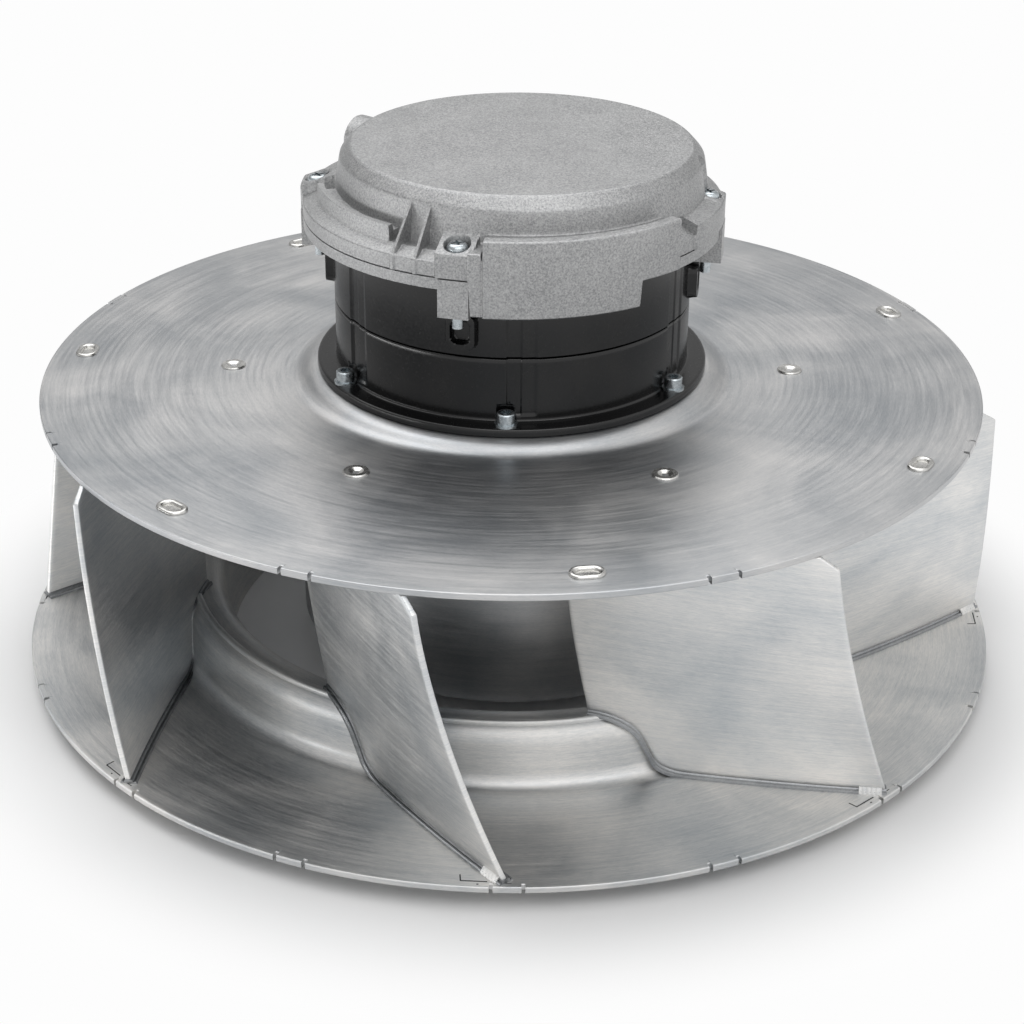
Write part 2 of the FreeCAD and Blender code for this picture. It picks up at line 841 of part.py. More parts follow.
def motor_flange():
    shape = band(tube_radius, band_radius, ring_top, band_top)
    boss = block(boss_width, boss_inner_radius, boss_outer_radius, ring_top - boss_drop, band_top)
    hole = post(cover_screw_hole, ring_top - boss_drop - 1, band_top + 1,
                spot(cover_screw_circle_radius, 0))
    stand = post(post_radius, ring_top, band_top + post_height, spot(post_circle_radius, post_phase))
    stand_hole = post(board_screw_radius + running_clearance, ring_top + 1,
                      band_top + post_height + 1, spot(post_circle_radius, post_phase))
    mount_hole = post(mount_hole_radius, ring_top - 1, band_top + 1, spot(mount_circle_radius, 0))
    shape = shape.fuse([turned_to(boss, a) for a in cover_screw_azimuths])
    shape = shape.fuse(ring_of(stand, post_count, 0))
    cuts = [turned_to(hole, a) for a in cover_screw_azimuths]
    cuts += [turned_to(mount_hole, a) for a in mount_azimuths]
    cuts += ring_of(stand_hole, post_count, 0)
    cuts.append(post(lead_hole_radius, ring_top - 1, band_top + 1, spot(lead_hole_circle_radius, 90)))
    return shape.removeSplitter().cut(cuts)


def cover_gasket():
    outer = band_radius - gasket_inset
    ring = band(outer - gasket_width, outer, band_top, cover_bottom)
    hole = post(screw_radius + screw_hole_clearance, band_top - 1, cover_bottom + 1,
                spot(cover_screw_circle_radius, 0))
    return ring.cut([turned_to(hole, a) for a in cover_screw_azimuths])


# Upper die casting: the electronics cover

def cover_rim():
    """The round edge of the casting: a sloped ledge, and a lip that hangs over the gasket."""
    low = cover_bottom
    lip_inner = band_radius - lip_wall
    lip_low = band_top + lip_gap
    ledge = low + ledge_height
    inner = dome_foot_radius - cover_wall - dome_shift
    return turned(section(
        (inner, low), (lip_inner, low), (lip_inner, lip_low), (band_radius, lip_low),
        (band_radius, ledge), (ledge_inner_radius, ledge + ledge_slope), (inner, ledge + ledge_slope)))


def cover_dome():
    """The dome with its bevelled shoulder; it stands a little to the right of the axis."""
    low = cover_bottom
    corner = (dome_shoulder_radius, low + dome_shoulder_height)
    dome = turned(section(
        (0.0, low), (dome_foot_radius, low), (dome_foot_radius, low + ledge_height), corner,
        bulged(corner, (dome_top_radius, cover_top), dome_corner_bulge), (0.0, cover_top)))
    dome.translate(Vector(dome_shift, 0, 0))
    return dome


def cover_cavity():
    """The room for the electronics under the dome."""
    low = cover_bottom
    inner_foot = dome_foot_radius - cover_wall
    inner_top = dome_top_radius - cover_wall
    room = turned(section(
        (0.0, low - 1), (inner_foot, low - 1), (inner_foot, low + dome_shoulder_height - dome_inner_step),
        (inner_top, cover_top - cover_wall), (0.0, cover_top - cover_wall)))
    room.translate(Vector(dome_shift, 0, 0))
    return room


def screw_pad():
    """Raised pad round one cover screw, its top sloping outwards, made at the front."""
    low = cover_bottom
    lip_inner = band_radius - lip_wall
    lip_low = band_top + lip_gap
    face = section(
        (rib_root_radius, low), (lip_inner, low), (lip_inner, lip_low), (boss_outer_radius, lip_low),
        (boss_outer_radius, low + pad_front_height), (rib_root_radius, low + pad_back_height))
    return face.extrude(Vector(pad_width, 0, 0)).translated(Vector(-pad_width / 2, 0, 0))


def cover_shoulder():
    """The raised shoulder at the front right with its skirt, the link between them and the front
    screw pad, and the lower block at the right."""
    low = cover_bottom
    inner = rib_root_radius
    top = low + shoulder_height
    groove_floor = top - shoulder_groove_depth
    high_part = section(
        (inner, low), (shoulder_radius, low), (shoulder_radius, top - shoulder_edge),
        (shoulder_radius - shoulder_edge, top), (shoulder_groove_radius, top),
        (shoulder_groove_radius - shoulder_groove_slope, groove_floor), (inner, groove_floor))
    link_radius = shoulder_radius - link_setback
    side_low = low + side_block_height
    side_part = section(
        (inner, low), (boss_outer_radius, low), (boss_outer_radius, side_low),
        (ledge_inner_radius, side_low + side_block_rise), (inner, side_low + side_block_rise))
    skirt_inner = shoulder_radius - skirt_wall
    skirt_top = low + casting_overlap
    skirt_low = low - skirt_drop
    return [
        turned(high_part, shoulder_from, shoulder_to),
        band(inner, link_radius, low, low + link_height, link_from, shoulder_from),
        band(link_radius - link_wall, link_radius, skirt_low, skirt_top, link_from, shoulder_from),
        turned(side_part, side_block_from, side_block_to),
        band(skirt_inner, shoulder_radius, skirt_low, skirt_top, shoulder_from, skirt_to),
        band(skirt_inner, shoulder_radius, low - skirt_step_drop, skirt_top, skirt_to, shoulder_to),
    ]


def cover_ribs():
    """The curved rib at the front left and the two upright gussets beside it."""
    low = cover_bottom + casting_overlap
    backing_top = cover_bottom + arc_rib_height - arc_rib_backing_drop
    ribs = [
        band(arc_rib_radius - arc_rib_width, arc_rib_radius, low, cover_bottom + arc_rib_height,
             arc_rib_from, arc_rib_to),
        band(rib_root_radius, arc_rib_radius - arc_rib_width, low, backing_top,
             arc_rib_from, arc_rib_to),
    ]
    gusset = section(
        (rib_root_radius, low), (gusset_foot_radius, low),
        (gusset_foot_radius, cover_bottom + gusset_foot_height),
        (rib_root_radius, cover_bottom + gusset_top_height))
    gusset = gusset.extrude(Vector(gusset_thickness, 0, 0))
    gusset.translate(Vector(-gusset_thickness / 2, 0, 0))
    return ribs + [turned_to(gusset, a) for a in gusset_azimuths]


def electronics_cover():
    low = cover_bottom
    shape = cover_rim()
    adds = [cover_dome()] + cover_shoulder() + cover_ribs()
    adds += [turned_to(screw_pad(), a) for a in cover_screw_azimuths]
    adds.append(turned_to(gland_boss(), gland_azimuth))
    shape = shape.fuse(adds)
    centre = spot(cover_screw_circle_radius, 0)
    hole = post(screw_radius + screw_hole_clearance, low - 1, low + pad_seat_height + 1, centre)
    pocket = post(pad_pocket_radius, low + pad_seat_height, cover_top + 1, centre)
    cuts = [turned_to(hole.fuse(pocket), a) for a in cover_screw_azimuths]
    cuts += [cover_cavity(), gland_bore()]
    return shape.cut(cuts).removeSplitter()


gland_height = cover_bottom + gland_boss_height
gland_face_radius = dome_foot_radius + gland_reach


def gland_boss():
    """Round-topped cable entry boss on the side of the dome, made at the front."""
    inner = rib_root_radius
    length = gland_face_radius - inner
    drum = Part.makeCylinder(gland_boss_radius, length, Vector(0, -inner, gland_height), FRONT)
    base = block(2 * gland_boss_radius, inner, gland_face_radius, cover_bottom, gland_height)
    return drum.fuse(base)


def gland_bore():
    """The cable entry's bore, through the boss and the dome's wall."""
    inner = rib_root_radius - gland_boss_radius
    length = gland_face_radius - inner + 1
    tool = Part.makeCylinder(gland_hole_radius, length, Vector(0, -inner, gland_height), FRONT)
    return turned_to(tool, gland_azimuth)


def gland_plug():
    """Hexagonal blanking plug in the cable entry."""
    points = [Vector(plug_head_radius * math.cos(math.radians(60 * k)), -gland_face_radius,
                     gland_height + plug_head_radius * math.sin(math.radians(60 * k)))
              for k in range(7)]
    head = Part.Face(Part.makePolygon(points)).extrude(FRONT * plug_head_thickness)
    shank = Part.makeCylinder(gland_hole_radius - running_clearance, plug_shank_length,
                              Vector(0, plug_shank_length - gland_face_radius, gland_height), FRONT)
    return turned_to(head.fuse(shank), gland_azimuth)


def cover_screw():
    """One pan-head screw, its end standing out below the boss, made at the front."""
    centre = spot(cover_screw_circle_radius, 0)
    seat = cover_bottom + pad_seat_height
    top = seat + cover_screw_head_height
    round_centre = (cover_screw_head_radius - cover_screw_head_round, seat + cover_screw_head_edge)
    head = section(
        (0.0, seat), (cover_screw_head_radius, seat),
        (cover_screw_head_radius, seat + cover_screw_head_edge),
        (on_arc(round_centre, cover_screw_head_round, 45), (round_centre[0], top)),
        (0.0, top)).revolve(ORIGIN, AXIS, 360)
    head.translate(centre)
    shape = head.fuse(post(screw_radius, seat - cover_screw_length, seat + 1, centre)).removeSplitter()
    for turn in (0, 90):
        slot = Part.makeBox(2 * cover_screw_slot_reach, cover_screw_slot, cover_screw_slot_depth + 1,
                            Vector(-cover_screw_slot_reach, -cover_screw_slot / 2,
                                   top - cover_screw_slot_depth))
        slot = turned_to(slot, turn + cover_screw_slot_turn)
        slot.translate(centre)
        shape = shape.cut(slot)
    return shape


# Electronics

board_bottom = band_top + post_height
board_top = board_bottom + board_thickness


def control_board():
    board = post(board_radius, board_bottom, board_top)
    hole = post(board_screw_radius + board_clearance, board_bottom - 1, board_top + 1,
                spot(post_circle_radius, post_phase))
    return board.cut(ring_of(hole, post_count, 0))


def board_screws():
    centre = spot(post_circle_radius, post_phase)
    head = post(board_screw_head_radius, board_top, board_top + board_screw_head_height, centre)
    shank = post(board_screw_radius, board_top - board_screw_length, board_top + 0.5, centre)
    return ring_of(head.fuse(shank).removeSplitter(), post_count, 0)


def dc_capacitors():
    cans = []
    for x, y in capacitor_spots:
        can = post(capacitor_radius, board_top, board_top + capacitor_height, Vector(x, y, 0))
        cans.append(can.makeFillet(capacitor_edge, edges_at(can, board_top + capacitor_height)))
    return cans


def line_choke():
    return Part.makeTorus(choke_radius - choke_core_radius, choke_core_radius,
                          Vector(choke_spot[0], choke_spot[1], board_top + choke_core_radius), AXIS)


def terminal_block():
    width, depth, height = terminal_size
    x, y = terminal_spot
    body = Part.makeBox(width, depth, height, Vector(x, y - depth / 2, board_top))
    pitch = depth / terminal_way_count
    for k in range(terminal_way_count):
        centre = Vector(x + width / 2, y - depth / 2 + pitch * (k + 0.5), 0)
        body = body.cut(post(terminal_way_radius, board_top + height - terminal_way_depth,
                             board_top + height + 1, centre))
    return body


save("electronics_cover", electronics_cover())
save("cover_gasket", cover_gasket())
save("cover_screws", [turned_to(cover_screw(), a) for a in cover_screw_azimuths])
save("gland_plug", gland_plug())
save("control_board", control_board())
save("board_screws", board_screws())
save("dc_capacitors", dc_capacitors())
save("line_choke", line_choke())
save("terminal_block", terminal_block())
save("motor_flange", motor_flange())
save("stator_ring", stator_ring())
save("bearing_tube", bearing_tube())
save("stator_core", stator_core())
save("stator_coils", stator_coils())
save("upper_bearing", bearing(upper_bearing_bottom))
save("lower_bearing", bearing(lower_bearing_bottom))
save("preload_spring", preload_spring())
save("retaining_ring", retaining_ring())
save("shaft", shaft())
save("rotor_bell", rotor_bell())
save("back_iron", back_iron())
save("magnets", magnets())
save("back_plate", back_plate())
save("inlet_shroud", inlet_shroud())
save("hub_shell", hub_shell())
save("hub_ring", hub_ring())
save("hub_rivets", hub_rivets())
save("balance_eyelets", balance_eyelets())
save("flange_screws", ring_of(flange_screw(), screw_count, screw_phase))
save("flange_nuts", ring_of(flange_nut(), screw_count, screw_phase))
one_blade = blade_body()
for k in range(blade_count):
    save("blade_%d" % (k + 1), turned_to(one_blade, blade_phase + 360.0 * k / blade_count))
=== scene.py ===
# %% [markdown]
# # A plug fan in sheet metal and die castings
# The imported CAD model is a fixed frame: its nodes ride on two bodies, the still motor and the
# turning impeller. The hidden pieces keep their CAD shape and only get a finish. The pieces that
# show could keep it too, but light on curved metal shows every flat facet, so they are made
# again here as fine surfaces.

import bpy
import numpy as np
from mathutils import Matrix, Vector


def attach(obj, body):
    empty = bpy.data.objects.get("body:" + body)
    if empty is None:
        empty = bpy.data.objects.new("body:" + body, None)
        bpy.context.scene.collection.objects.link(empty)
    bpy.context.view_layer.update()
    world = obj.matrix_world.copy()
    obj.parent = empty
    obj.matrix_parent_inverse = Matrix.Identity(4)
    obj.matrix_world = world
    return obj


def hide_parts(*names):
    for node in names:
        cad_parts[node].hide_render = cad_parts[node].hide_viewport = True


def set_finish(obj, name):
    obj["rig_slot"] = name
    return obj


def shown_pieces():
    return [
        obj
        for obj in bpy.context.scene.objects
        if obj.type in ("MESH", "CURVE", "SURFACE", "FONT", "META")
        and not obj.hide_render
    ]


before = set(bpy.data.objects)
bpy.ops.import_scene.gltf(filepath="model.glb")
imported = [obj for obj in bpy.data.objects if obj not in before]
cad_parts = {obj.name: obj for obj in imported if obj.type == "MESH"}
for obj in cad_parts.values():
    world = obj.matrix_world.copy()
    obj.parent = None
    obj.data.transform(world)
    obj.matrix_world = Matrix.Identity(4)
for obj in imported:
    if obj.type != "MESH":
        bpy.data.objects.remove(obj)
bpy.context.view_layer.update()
MM = 0.001

# %% [markdown]
# ## Surfaces from arrays
# All sizes are in millimetres. Heights count from the plane on which the fan stands, and an
# azimuth is counted in degrees from the front, counter-clockwise from above. A surface could be
# modelled by hand, but a formula is exact and easy to change. So each one is a grid of points
# worked out at once as an array, with quads between neighbours.

# %% Mesh from points and faces
def mesh_from(name, points, faces, body, slot, uv=None):
    """A mesh object from arrays of points in mm and faces; it rides on a body and has a slot."""
    mesh = bpy.data.meshes.new(name)
    mesh.from_pydata((points * MM).tolist(), [], faces)
    if uv is not None:
        corners = np.empty(len(mesh.loops), dtype=np.int32)
        mesh.loops.foreach_get("vertex_index", corners)
        layer = mesh.uv_layers.new(name="sheet")
        layer.data.foreach_set("uv", uv[corners].astype(np.float32).ravel())
    mesh.shade_smooth()
    piece = bpy.data.objects.new(name, mesh)
    bpy.context.scene.collection.objects.link(piece)
    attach(piece, body)
    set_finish(piece, slot)
    print(name, len(points), "points", len(faces), "faces")
    return piece


def grid_faces(rows, columns, wrap_rows, wrap_columns):
    """Quads between neighbours of a grid whose point number is row * columns + column."""
    number = np.arange(rows * columns).reshape(rows, columns)
    if wrap_rows:
        number = np.vstack((number, number[:1]))
    if wrap_columns:
        number = np.hstack((number, number[:, :1]))
    quads = np.stack((number[:-1, :-1], number[:-1, 1:], number[1:, 1:], number[1:, :-1]), axis=-1)
    return quads.reshape(-1, 4)


# %% Surface round the axis
def at(radius, azimuth, height):
    """Points (r sin a, -r cos a, z) from radii, azimuths in degrees and heights, as one array."""
    turn = np.radians(azimuth)
    radius, turn, height = np.broadcast_arrays(radius, turn, height)
    return np.stack((radius * np.sin(turn), -radius * np.cos(turn), height), axis=-1).astype(float)


def outward(points, faces):
    """The quads of a closed surface, turned over if they enclose a negative volume. The volume is
    the sum of the pyramids from the origin to each half of a quad."""
    a, b, c, d = (points[faces[:, k]] for k in range(4))
    volume = (np.einsum("ij,ij->i", a, np.cross(b, c)) + np.einsum("ij,ij->i", a, np.cross(c, d))).sum() / 6
    print("  encloses", round(abs(volume) / 1000, 1), "cm3")
    return faces if volume > 0 else faces[:, ::-1]


def ring_surface(name, radius, azimuth, height, body, slot):
    """A closed profile carried round the axis: rows of radii and heights, one column for each
    azimuth."""
    grid = at(radius, azimuth[None, :], height)
    points = grid.reshape(-1, 3)
    faces = outward(points, grid_faces(grid.shape[0], grid.shape[1], True, True))
    piece = mesh_from(name, points, faces.tolist(), body, slot)
    piece.data.set_sharp_from_angle(angle=np.radians(40.0))
    return piece


# %% Rounded profile
def rounded(corners, radii, steps=4):
    """A closed profile whose corners are rounded: each corner p becomes a quadratic curve
    s (1 - t)^2 + 2 p t (1 - t) + e t^2 between the points s and e one radius before and after
    it, with a support point beyond each end."""
    corners = np.array(corners, float)
    before = np.roll(corners, 1, axis=0) - corners
    after = np.roll(corners, -1, axis=0) - corners
    radii = np.broadcast_to(np.array(radii, float), len(corners))[:, None]
    length_before = np.linalg.norm(before, axis=1, keepdims=True)
    length_after = np.linalg.norm(after, axis=1, keepdims=True)
    start = corners + before / length_before * np.minimum(radii, 0.45 * length_before)
    end = corners + after / length_after * np.minimum(radii, 0.45 * length_after)
    t = np.linspace(0, 1, steps + 1)[None, :, None]
    curve = start[:, None] * (1 - t) ** 2 + 2 * corners[:, None] * t * (1 - t) + end[:, None] * t ** 2
    spare_before = start + (start - corners) * 0.1
    spare_after = end + (end - corners) * 0.1
    return np.concatenate((spare_before[:, None], curve, spare_after[:, None]), axis=1).reshape(-1, 2)


# %% [markdown]
# ## Back plate
# The large disc is laser-cut from aluminium sheet. Its middle is pressed up six millimetres in a
# soft step, on which the motor's flange sits, and clinched tabs between small slits mark its
# rim. It could be a flat cylinder with cuts, but a boolean leaves long thin faces that shade
# badly. So its section is carried round the axis, and the slits are columns with less radius.

# %% Sizes of the back plate
plate_radius = 225.0
plate_bottom = 139.0
plate_top = 142.0
hub_rise = 6.0
hub_step_outer_radius = 103.0
hub_step_inner_radius = 96.0
hub_step_under_shift = 1.5
hub_bore_radius = 77.0
bore_round = 0.4
step_round_under = 3.0
step_round_top = 3.5
plate_rim_round = 0.6
blade_count = 8
tab_length = 12.0
tab_rise = 0.3
slit_width = 1.6
slit_depth = 2.5
plate_tab_turns = (22.5,)
print("plate", 2 * plate_radius, "mm across,", plate_top - plate_bottom, "mm thick")


# %% Tabs and slits along a rim
def off_axis(azimuth, centre):
    """Signed angle in degrees from a centre azimuth, between -180 and 180."""
    return (azimuth - centre + 180.0) % 360.0 - 180.0


def rimmed(name, profile, rim, turns, columns):
    """A turned sheet with clinched tabs along its rim. Each tab is a bar between two slits: the
    rim's radius drops in a slit, and the top rises a little on a tab."""
    last = np.max(np.nonzero(profile[:, 0] > rim - 1.0)[0])
    top = profile[last, 1]
    floor_points = [(rim - slit_depth, top), (rim - slit_depth - 0.15, top)]
    profile = np.insert(profile, last + 1, floor_points, axis=0)
    half, wide = np.degrees(tab_length / 2 / rim), np.degrees(slit_width / rim)
    marks = np.add.outer(np.arange(blade_count) * 360.0 / blade_count, turns).ravel()
    nudge = 0.004
    steps = [side * (edge + move) for side in (-1, 1) for edge in (half, half + wide)
             for move in (-nudge, nudge)]
    azimuth = np.unique(np.round(np.concatenate((
        np.arange(columns) * 360.0 / columns, np.add.outer(marks, steps).ravel() % 360.0)), 4))
    away = np.min(np.abs(off_axis(azimuth[:, None], marks)), axis=1)[None]
    near_rim = profile[:, :1] > rim - slit_depth - 0.5
    on_tab = (profile[:, :1] > rim - slit_depth - 0.1) & (profile[:, 1:] > top - 0.9)
    radius = profile[:, :1] - slit_depth * near_rim * ((away >= half) & (away <= half + wide))
    height = profile[:, 1:] + tab_rise * on_tab * (away < half)
    return ring_surface(name, radius, azimuth, height, "impeller", "mill_aluminium")


# %% Back plate
under_step = (hub_step_inner_radius - hub_step_under_shift, hub_step_outer_radius - hub_step_under_shift)
plate = rimmed("back_plate_sheet", rounded(
    [(hub_bore_radius, plate_bottom + hub_rise), (under_step[0], plate_bottom + hub_rise),
     (under_step[1], plate_bottom), (plate_radius, plate_bottom), (plate_radius, plate_top),
     (hub_step_outer_radius, plate_top), (hub_step_inner_radius, plate_top + hub_rise),
     (hub_bore_radius, plate_top + hub_rise)],
    (bore_round, step_round_under, step_round_under, plate_rim_round, plate_rim_round,
     step_round_top, step_round_top, bore_round), steps=5), plate_radius, plate_tab_turns, 360)
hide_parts("back_plate")

# %% [markdown]
# ## Balancing eyelets
# Obround steel collars sit in slots near the plate's rim, and their rims are rolled over, so a
# bright line of light runs round each. The square CAD collar could be bevelled, but a bevel
# gives no rolled lip. An obround is every point at one distance from a short line, so the
# rim's section is carried round that line by its distance and its height.

# %% Closed section along a path
def about_axis(points, turn):
    """Points turned about the axis by an angle in degrees."""
    c, s = np.cos(np.radians(turn)), np.sin(np.radians(turn))
    return points @ np.array(((c, s, 0), (-s, c, 0), (0, 0, 1)))


def tube(name, grid, body, slot, turns=(0.0,)):
    """A closed section carried along a path: rows round the section, columns along it, with flat
    ends. One such tube stands at each turn about the axis."""
    rows, columns = grid.shape[:2]
    points = grid.reshape(-1, 3)
    sides = grid_faces(rows, columns, True, False)
    first = np.arange(rows) * columns
    ends = np.stack((first, (first + columns - 1)[::-1]))
    if outward(points - points.mean(axis=0), sides) is not sides:
        sides, ends = sides[:, ::-1], ends[:, ::-1]
    shift = len(points) * np.arange(len(turns))[:, None, None]
    faces = (sides + shift).reshape(-1, 4).tolist() + (ends + shift).reshape(-1, rows).tolist()
    points = np.concatenate([about_axis(points, turn) for turn in turns])
    piece = mesh_from(name, points, faces, body, slot)
    piece.data.set_sharp_from_angle(angle=np.radians(50.0))
    return piece


# %% Balancing eyelets
eyelet_circle = 209.3
eyelet_count = 7
eyelet_turns = 8.5 + np.arange(eyelet_count) * 360.0 / eyelet_count
eyelet_half_line = 2.5
# Distance from the line and height over the plate: outer wall, rolled rim, inner wall
eyelet_section = plate_top * np.array((0.0, 1.0)) + np.array([
    (5.2, -0.5), (5.2, 0.3), (5.12, 0.75), (4.85, 1.12), (4.45, 1.34), (4.0, 1.4), (3.6, 1.38),
    (3.1, 1.22), (2.72, 0.92), (2.48, 0.5), (2.4, 0.08)])
half_turn = np.linspace(-np.pi / 2, np.pi / 2, 15)
round_turn = np.concatenate((half_turn, half_turn + np.pi))[:, None]
line_end = np.repeat((eyelet_half_line, -eyelet_half_line), len(half_turn))[:, None]
eyelet_grid = np.stack(np.broadcast_arrays(
    line_end + eyelet_section[:, 0] * np.cos(round_turn),
    eyelet_section[:, 0] * np.sin(round_turn) - eyelet_circle, eyelet_section[:, 1]), axis=-1)
eyelets = tube("balance_eyelets_rolled", eyelet_grid, "impeller", "bright_steel", eyelet_turns)
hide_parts("balance_eyelets")

# %% [markdown]
# ## Inlet shroud
# The lower ring is spun over a tool: a flat rim, then a tall rounded bead that turns down into
# the eye. It could be lofted through drawn curves, but its parts are plain: an arc, a steep
# flank and a fillet describe the bead, and a small round ridge runs along its shoulder. So the
# line is worked out from these, and the sheet is this line twice, three millimetres apart.

# %% Sizes of the shroud
rim_radius = 240.5
shroud_thickness = 3.0
shroud_top = 12.0
shroud_rim_round = 0.7
eye_radius = 141.0
eye_length = 8.0
eye_taper = 4.0
eye_round = 0.5
collar_radius = 143.0
bead_radius = 11.0
bead_rise = 29.0
bead_fillet = 8.0
bead_slope = np.radians(8.0)
ridge_radius = 1.5
ridge_angle = np.radians(65.0)
shroud_tab_turns = (0.0, 22.5)
bead_centre = np.array((collar_radius + bead_radius, shroud_top + bead_rise - bead_radius))
round_sum = bead_radius + bead_fillet
flank = (bead_rise - round_sum + round_sum * np.sin(bead_slope)) / np.cos(bead_slope)
fillet_centre = np.array((bead_centre[0] + round_sum * np.cos(bead_slope) + flank * np.sin(bead_slope),
                          shroud_top + bead_fillet))
print("bead's arc about", bead_centre, "flank", round(flank, 2), "fillet about", fillet_centre.round(2))


# %% Line of the shroud
def shroud_line(offset, ridge=False):
    """(radius, height) points of the flow side, moved below it by an offset, rim to eye. Seen from
    the bead's centre, the ridge is the far side of a small circle on the bead's arc."""
    fillet = np.linspace(-np.pi / 2, bead_slope - np.pi, 12)
    shoulder = ridge_angle + np.radians(np.linspace(-10, 10, 17))
    bead = np.unique(np.concatenate((np.linspace(bead_slope, np.pi, 30), shoulder)))
    away = bead - ridge_angle
    beside = np.clip(ridge_radius ** 2 - (bead_radius * np.sin(away)) ** 2, 0, None)
    hump = bead_radius * np.cos(away) + np.sqrt(beside)
    reach = np.where(np.abs(bead_radius * np.sin(away)) < ridge_radius, hump, 0.0) * ridge
    reach = np.maximum(reach, bead_radius - offset)
    low = fillet_centre + (bead_fillet + offset) * np.stack((np.cos(fillet), np.sin(fillet)), 1)
    high = bead_centre + reach[:, None] * np.stack((np.cos(bead), np.sin(bead)), 1)
    between = low[-1] + (high[0] - low[-1]) * np.linspace(0.2, 0.8, 4)[:, None]
    return np.vstack((low, between, high))


def corner(point, before, after, radius, steps=4):
    """The rounded corner of a profile at a point between two neighbours."""
    return rounded([before, point, after], radius, steps)[steps + 3:2 * (steps + 3)]


# %% Inlet shroud
top_line = shroud_line(0.0)
ridged_line = shroud_line(0.0, True)
under_line = shroud_line(shroud_thickness)[::-1]
rim_low = shroud_top - shroud_thickness
eye_wall = eye_radius + shroud_thickness
taper_low = eye_length - shroud_thickness * np.tan(np.arctan2(collar_radius - eye_radius, eye_taper) / 2)
shroud_profile = np.vstack((
    corner((rim_radius, rim_low), under_line[-1], (rim_radius, shroud_top), shroud_rim_round),
    corner((rim_radius, shroud_top), (rim_radius, rim_low), top_line[0], shroud_rim_round),
    ridged_line,
    [(collar_radius, eye_length + eye_taper), (eye_radius, eye_length)],
    corner((eye_radius, 0.0), (eye_radius, eye_length), (eye_wall, 0.0), eye_round),
    corner((eye_wall, 0.0), (eye_radius, 0.0), (eye_wall, eye_length), eye_round),
    [(eye_wall, taper_low), (collar_radius + shroud_thickness, taper_low + eye_taper)],
    under_line))
shroud = rimmed("inlet_shroud_sheet", shroud_profile, rim_radius, shroud_tab_turns, 400)
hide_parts("inlet_shroud")

# %% [markdown]
# ## Blades
# Each blade is rolled from sheet. In plan it is an arc through three points. Higher up, the
# whole arc is turned back, slowly at first, so the outer edge leans and curls. The foot follows
# the shroud's bead, the outer edge slopes in, and the top corner is cut back below the disc. A
# bent box would need many loop cuts to follow the bead, so the middle surface is one grid along
# the arc and up the sheet, and a Solidify modifier gives it its thickness.

# %% Sizes of a blade
blade_thickness = 2.5
blade_radii = (154.0, 191.0, 237.4)
blade_azimuths = (-29.0, -12.0, 0.0)
blade_head_radius = 231.0
blade_lean = 8.0
blade_lean_power = 1.5
lean_margin = 1.0
blade_corner_drop = 5.0
blade_corner_share = 0.922
blade_edge_round = 0.5


def circle_through(points):
    """Centre and radius of the circle through three plan points: the centre is as far from the
    second and the third as from the first, which gives two linear equations."""
    a, b, c = points
    m = 2 * np.array((b - a, c - a))
    centre = np.linalg.solve(m, (b @ b - a @ a, c @ c - a @ a))
    return centre, np.linalg.norm(a - centre)


plan = at(np.array(blade_radii), np.array(blade_azimuths), 0.0)[:, :2]
arc_centre, arc_radius = circle_through(plan)
ends = np.unwrap(np.arctan2(plan[:, 1] - arc_centre[1], plan[:, 0] - arc_centre[0]))
print("blade's arc about", arc_centre.round(1), "radius", round(arc_radius, 1))

# %% Grid of a blade
fine = np.linspace(ends[0], ends[2], 2000)
fine_plan = arc_centre + arc_radius * np.stack((np.cos(fine), np.sin(fine)), 1)
fine_radius = np.linalg.norm(fine_plan, axis=1)
fine_azimuth = np.degrees(np.arctan2(fine_plan[:, 0], -fine_plan[:, 1]))


def shroud_height(radius):
    """Height of the shroud's flow side at a radius outside the bead's crest."""
    line = top_line[::-1]
    outer = np.append(line[:, 0], rim_radius)
    height = np.append(line[:, 1], shroud_top)
    keep = outer >= bead_centre[0]
    return np.interp(radius, outer[keep], height[keep])


def blade_azimuth(radius, height):
    """Azimuth of the blade's middle surface: its arc, turned back more the higher it is."""
    depth = (plate_bottom + lean_margin - height) / (plate_bottom - shroud_top + 2 * lean_margin)
    lean = blade_lean * (1 - np.clip(depth, 0, 1) ** blade_lean_power)
    return np.interp(radius, fine_radius, fine_azimuth) - lean


# Shares of the blade's reach: close together where the foot climbs the bead
share = np.unique(np.concatenate((np.linspace(0, 0.125, 12), np.linspace(0.13, 0.15, 8),
                                  np.linspace(0.155, 0.25, 10), np.linspace(0.25, 1, 34),
                                  [blade_corner_share])))
foot_r = blade_radii[0] + (blade_radii[2] - blade_radii[0]) * share
head_r = blade_radii[0] + (blade_head_radius - blade_radii[0]) * share
foot = shroud_height(foot_r)
head = plate_bottom - blade_corner_drop * np.clip(
    (head_r - plate_radius) / (blade_head_radius - plate_radius), 0, 1)
arc_length = arc_radius * np.abs(np.interp(foot_r, fine_radius, fine) - ends[0])
rise = np.linspace(0, 1, 32)[:, None]
blade_r = foot_r + (head_r - foot_r) * rise
blade_z = foot + (head - foot) * rise
blade_a = blade_azimuth(blade_r, blade_z)
blade_uv = np.stack(np.broadcast_arrays(arc_length[None], blade_z), axis=-1).reshape(-1, 2) * MM
print("a blade is", round(arc_length[-1]), "mm long and", round(head[0] - foot[0]), "to",
      round(head[-1] - foot[-1]), "mm high")

# %% [markdown]
# ### Feet of the blades
# The foot of a blade is crimped into the shroud. A double lip runs along it, and a small ribbed
# tab is pressed against it just before its outer end. Both could be painted on as a bump, but
# they catch light and cast a thin shade, so each is a small section carried along the foot.

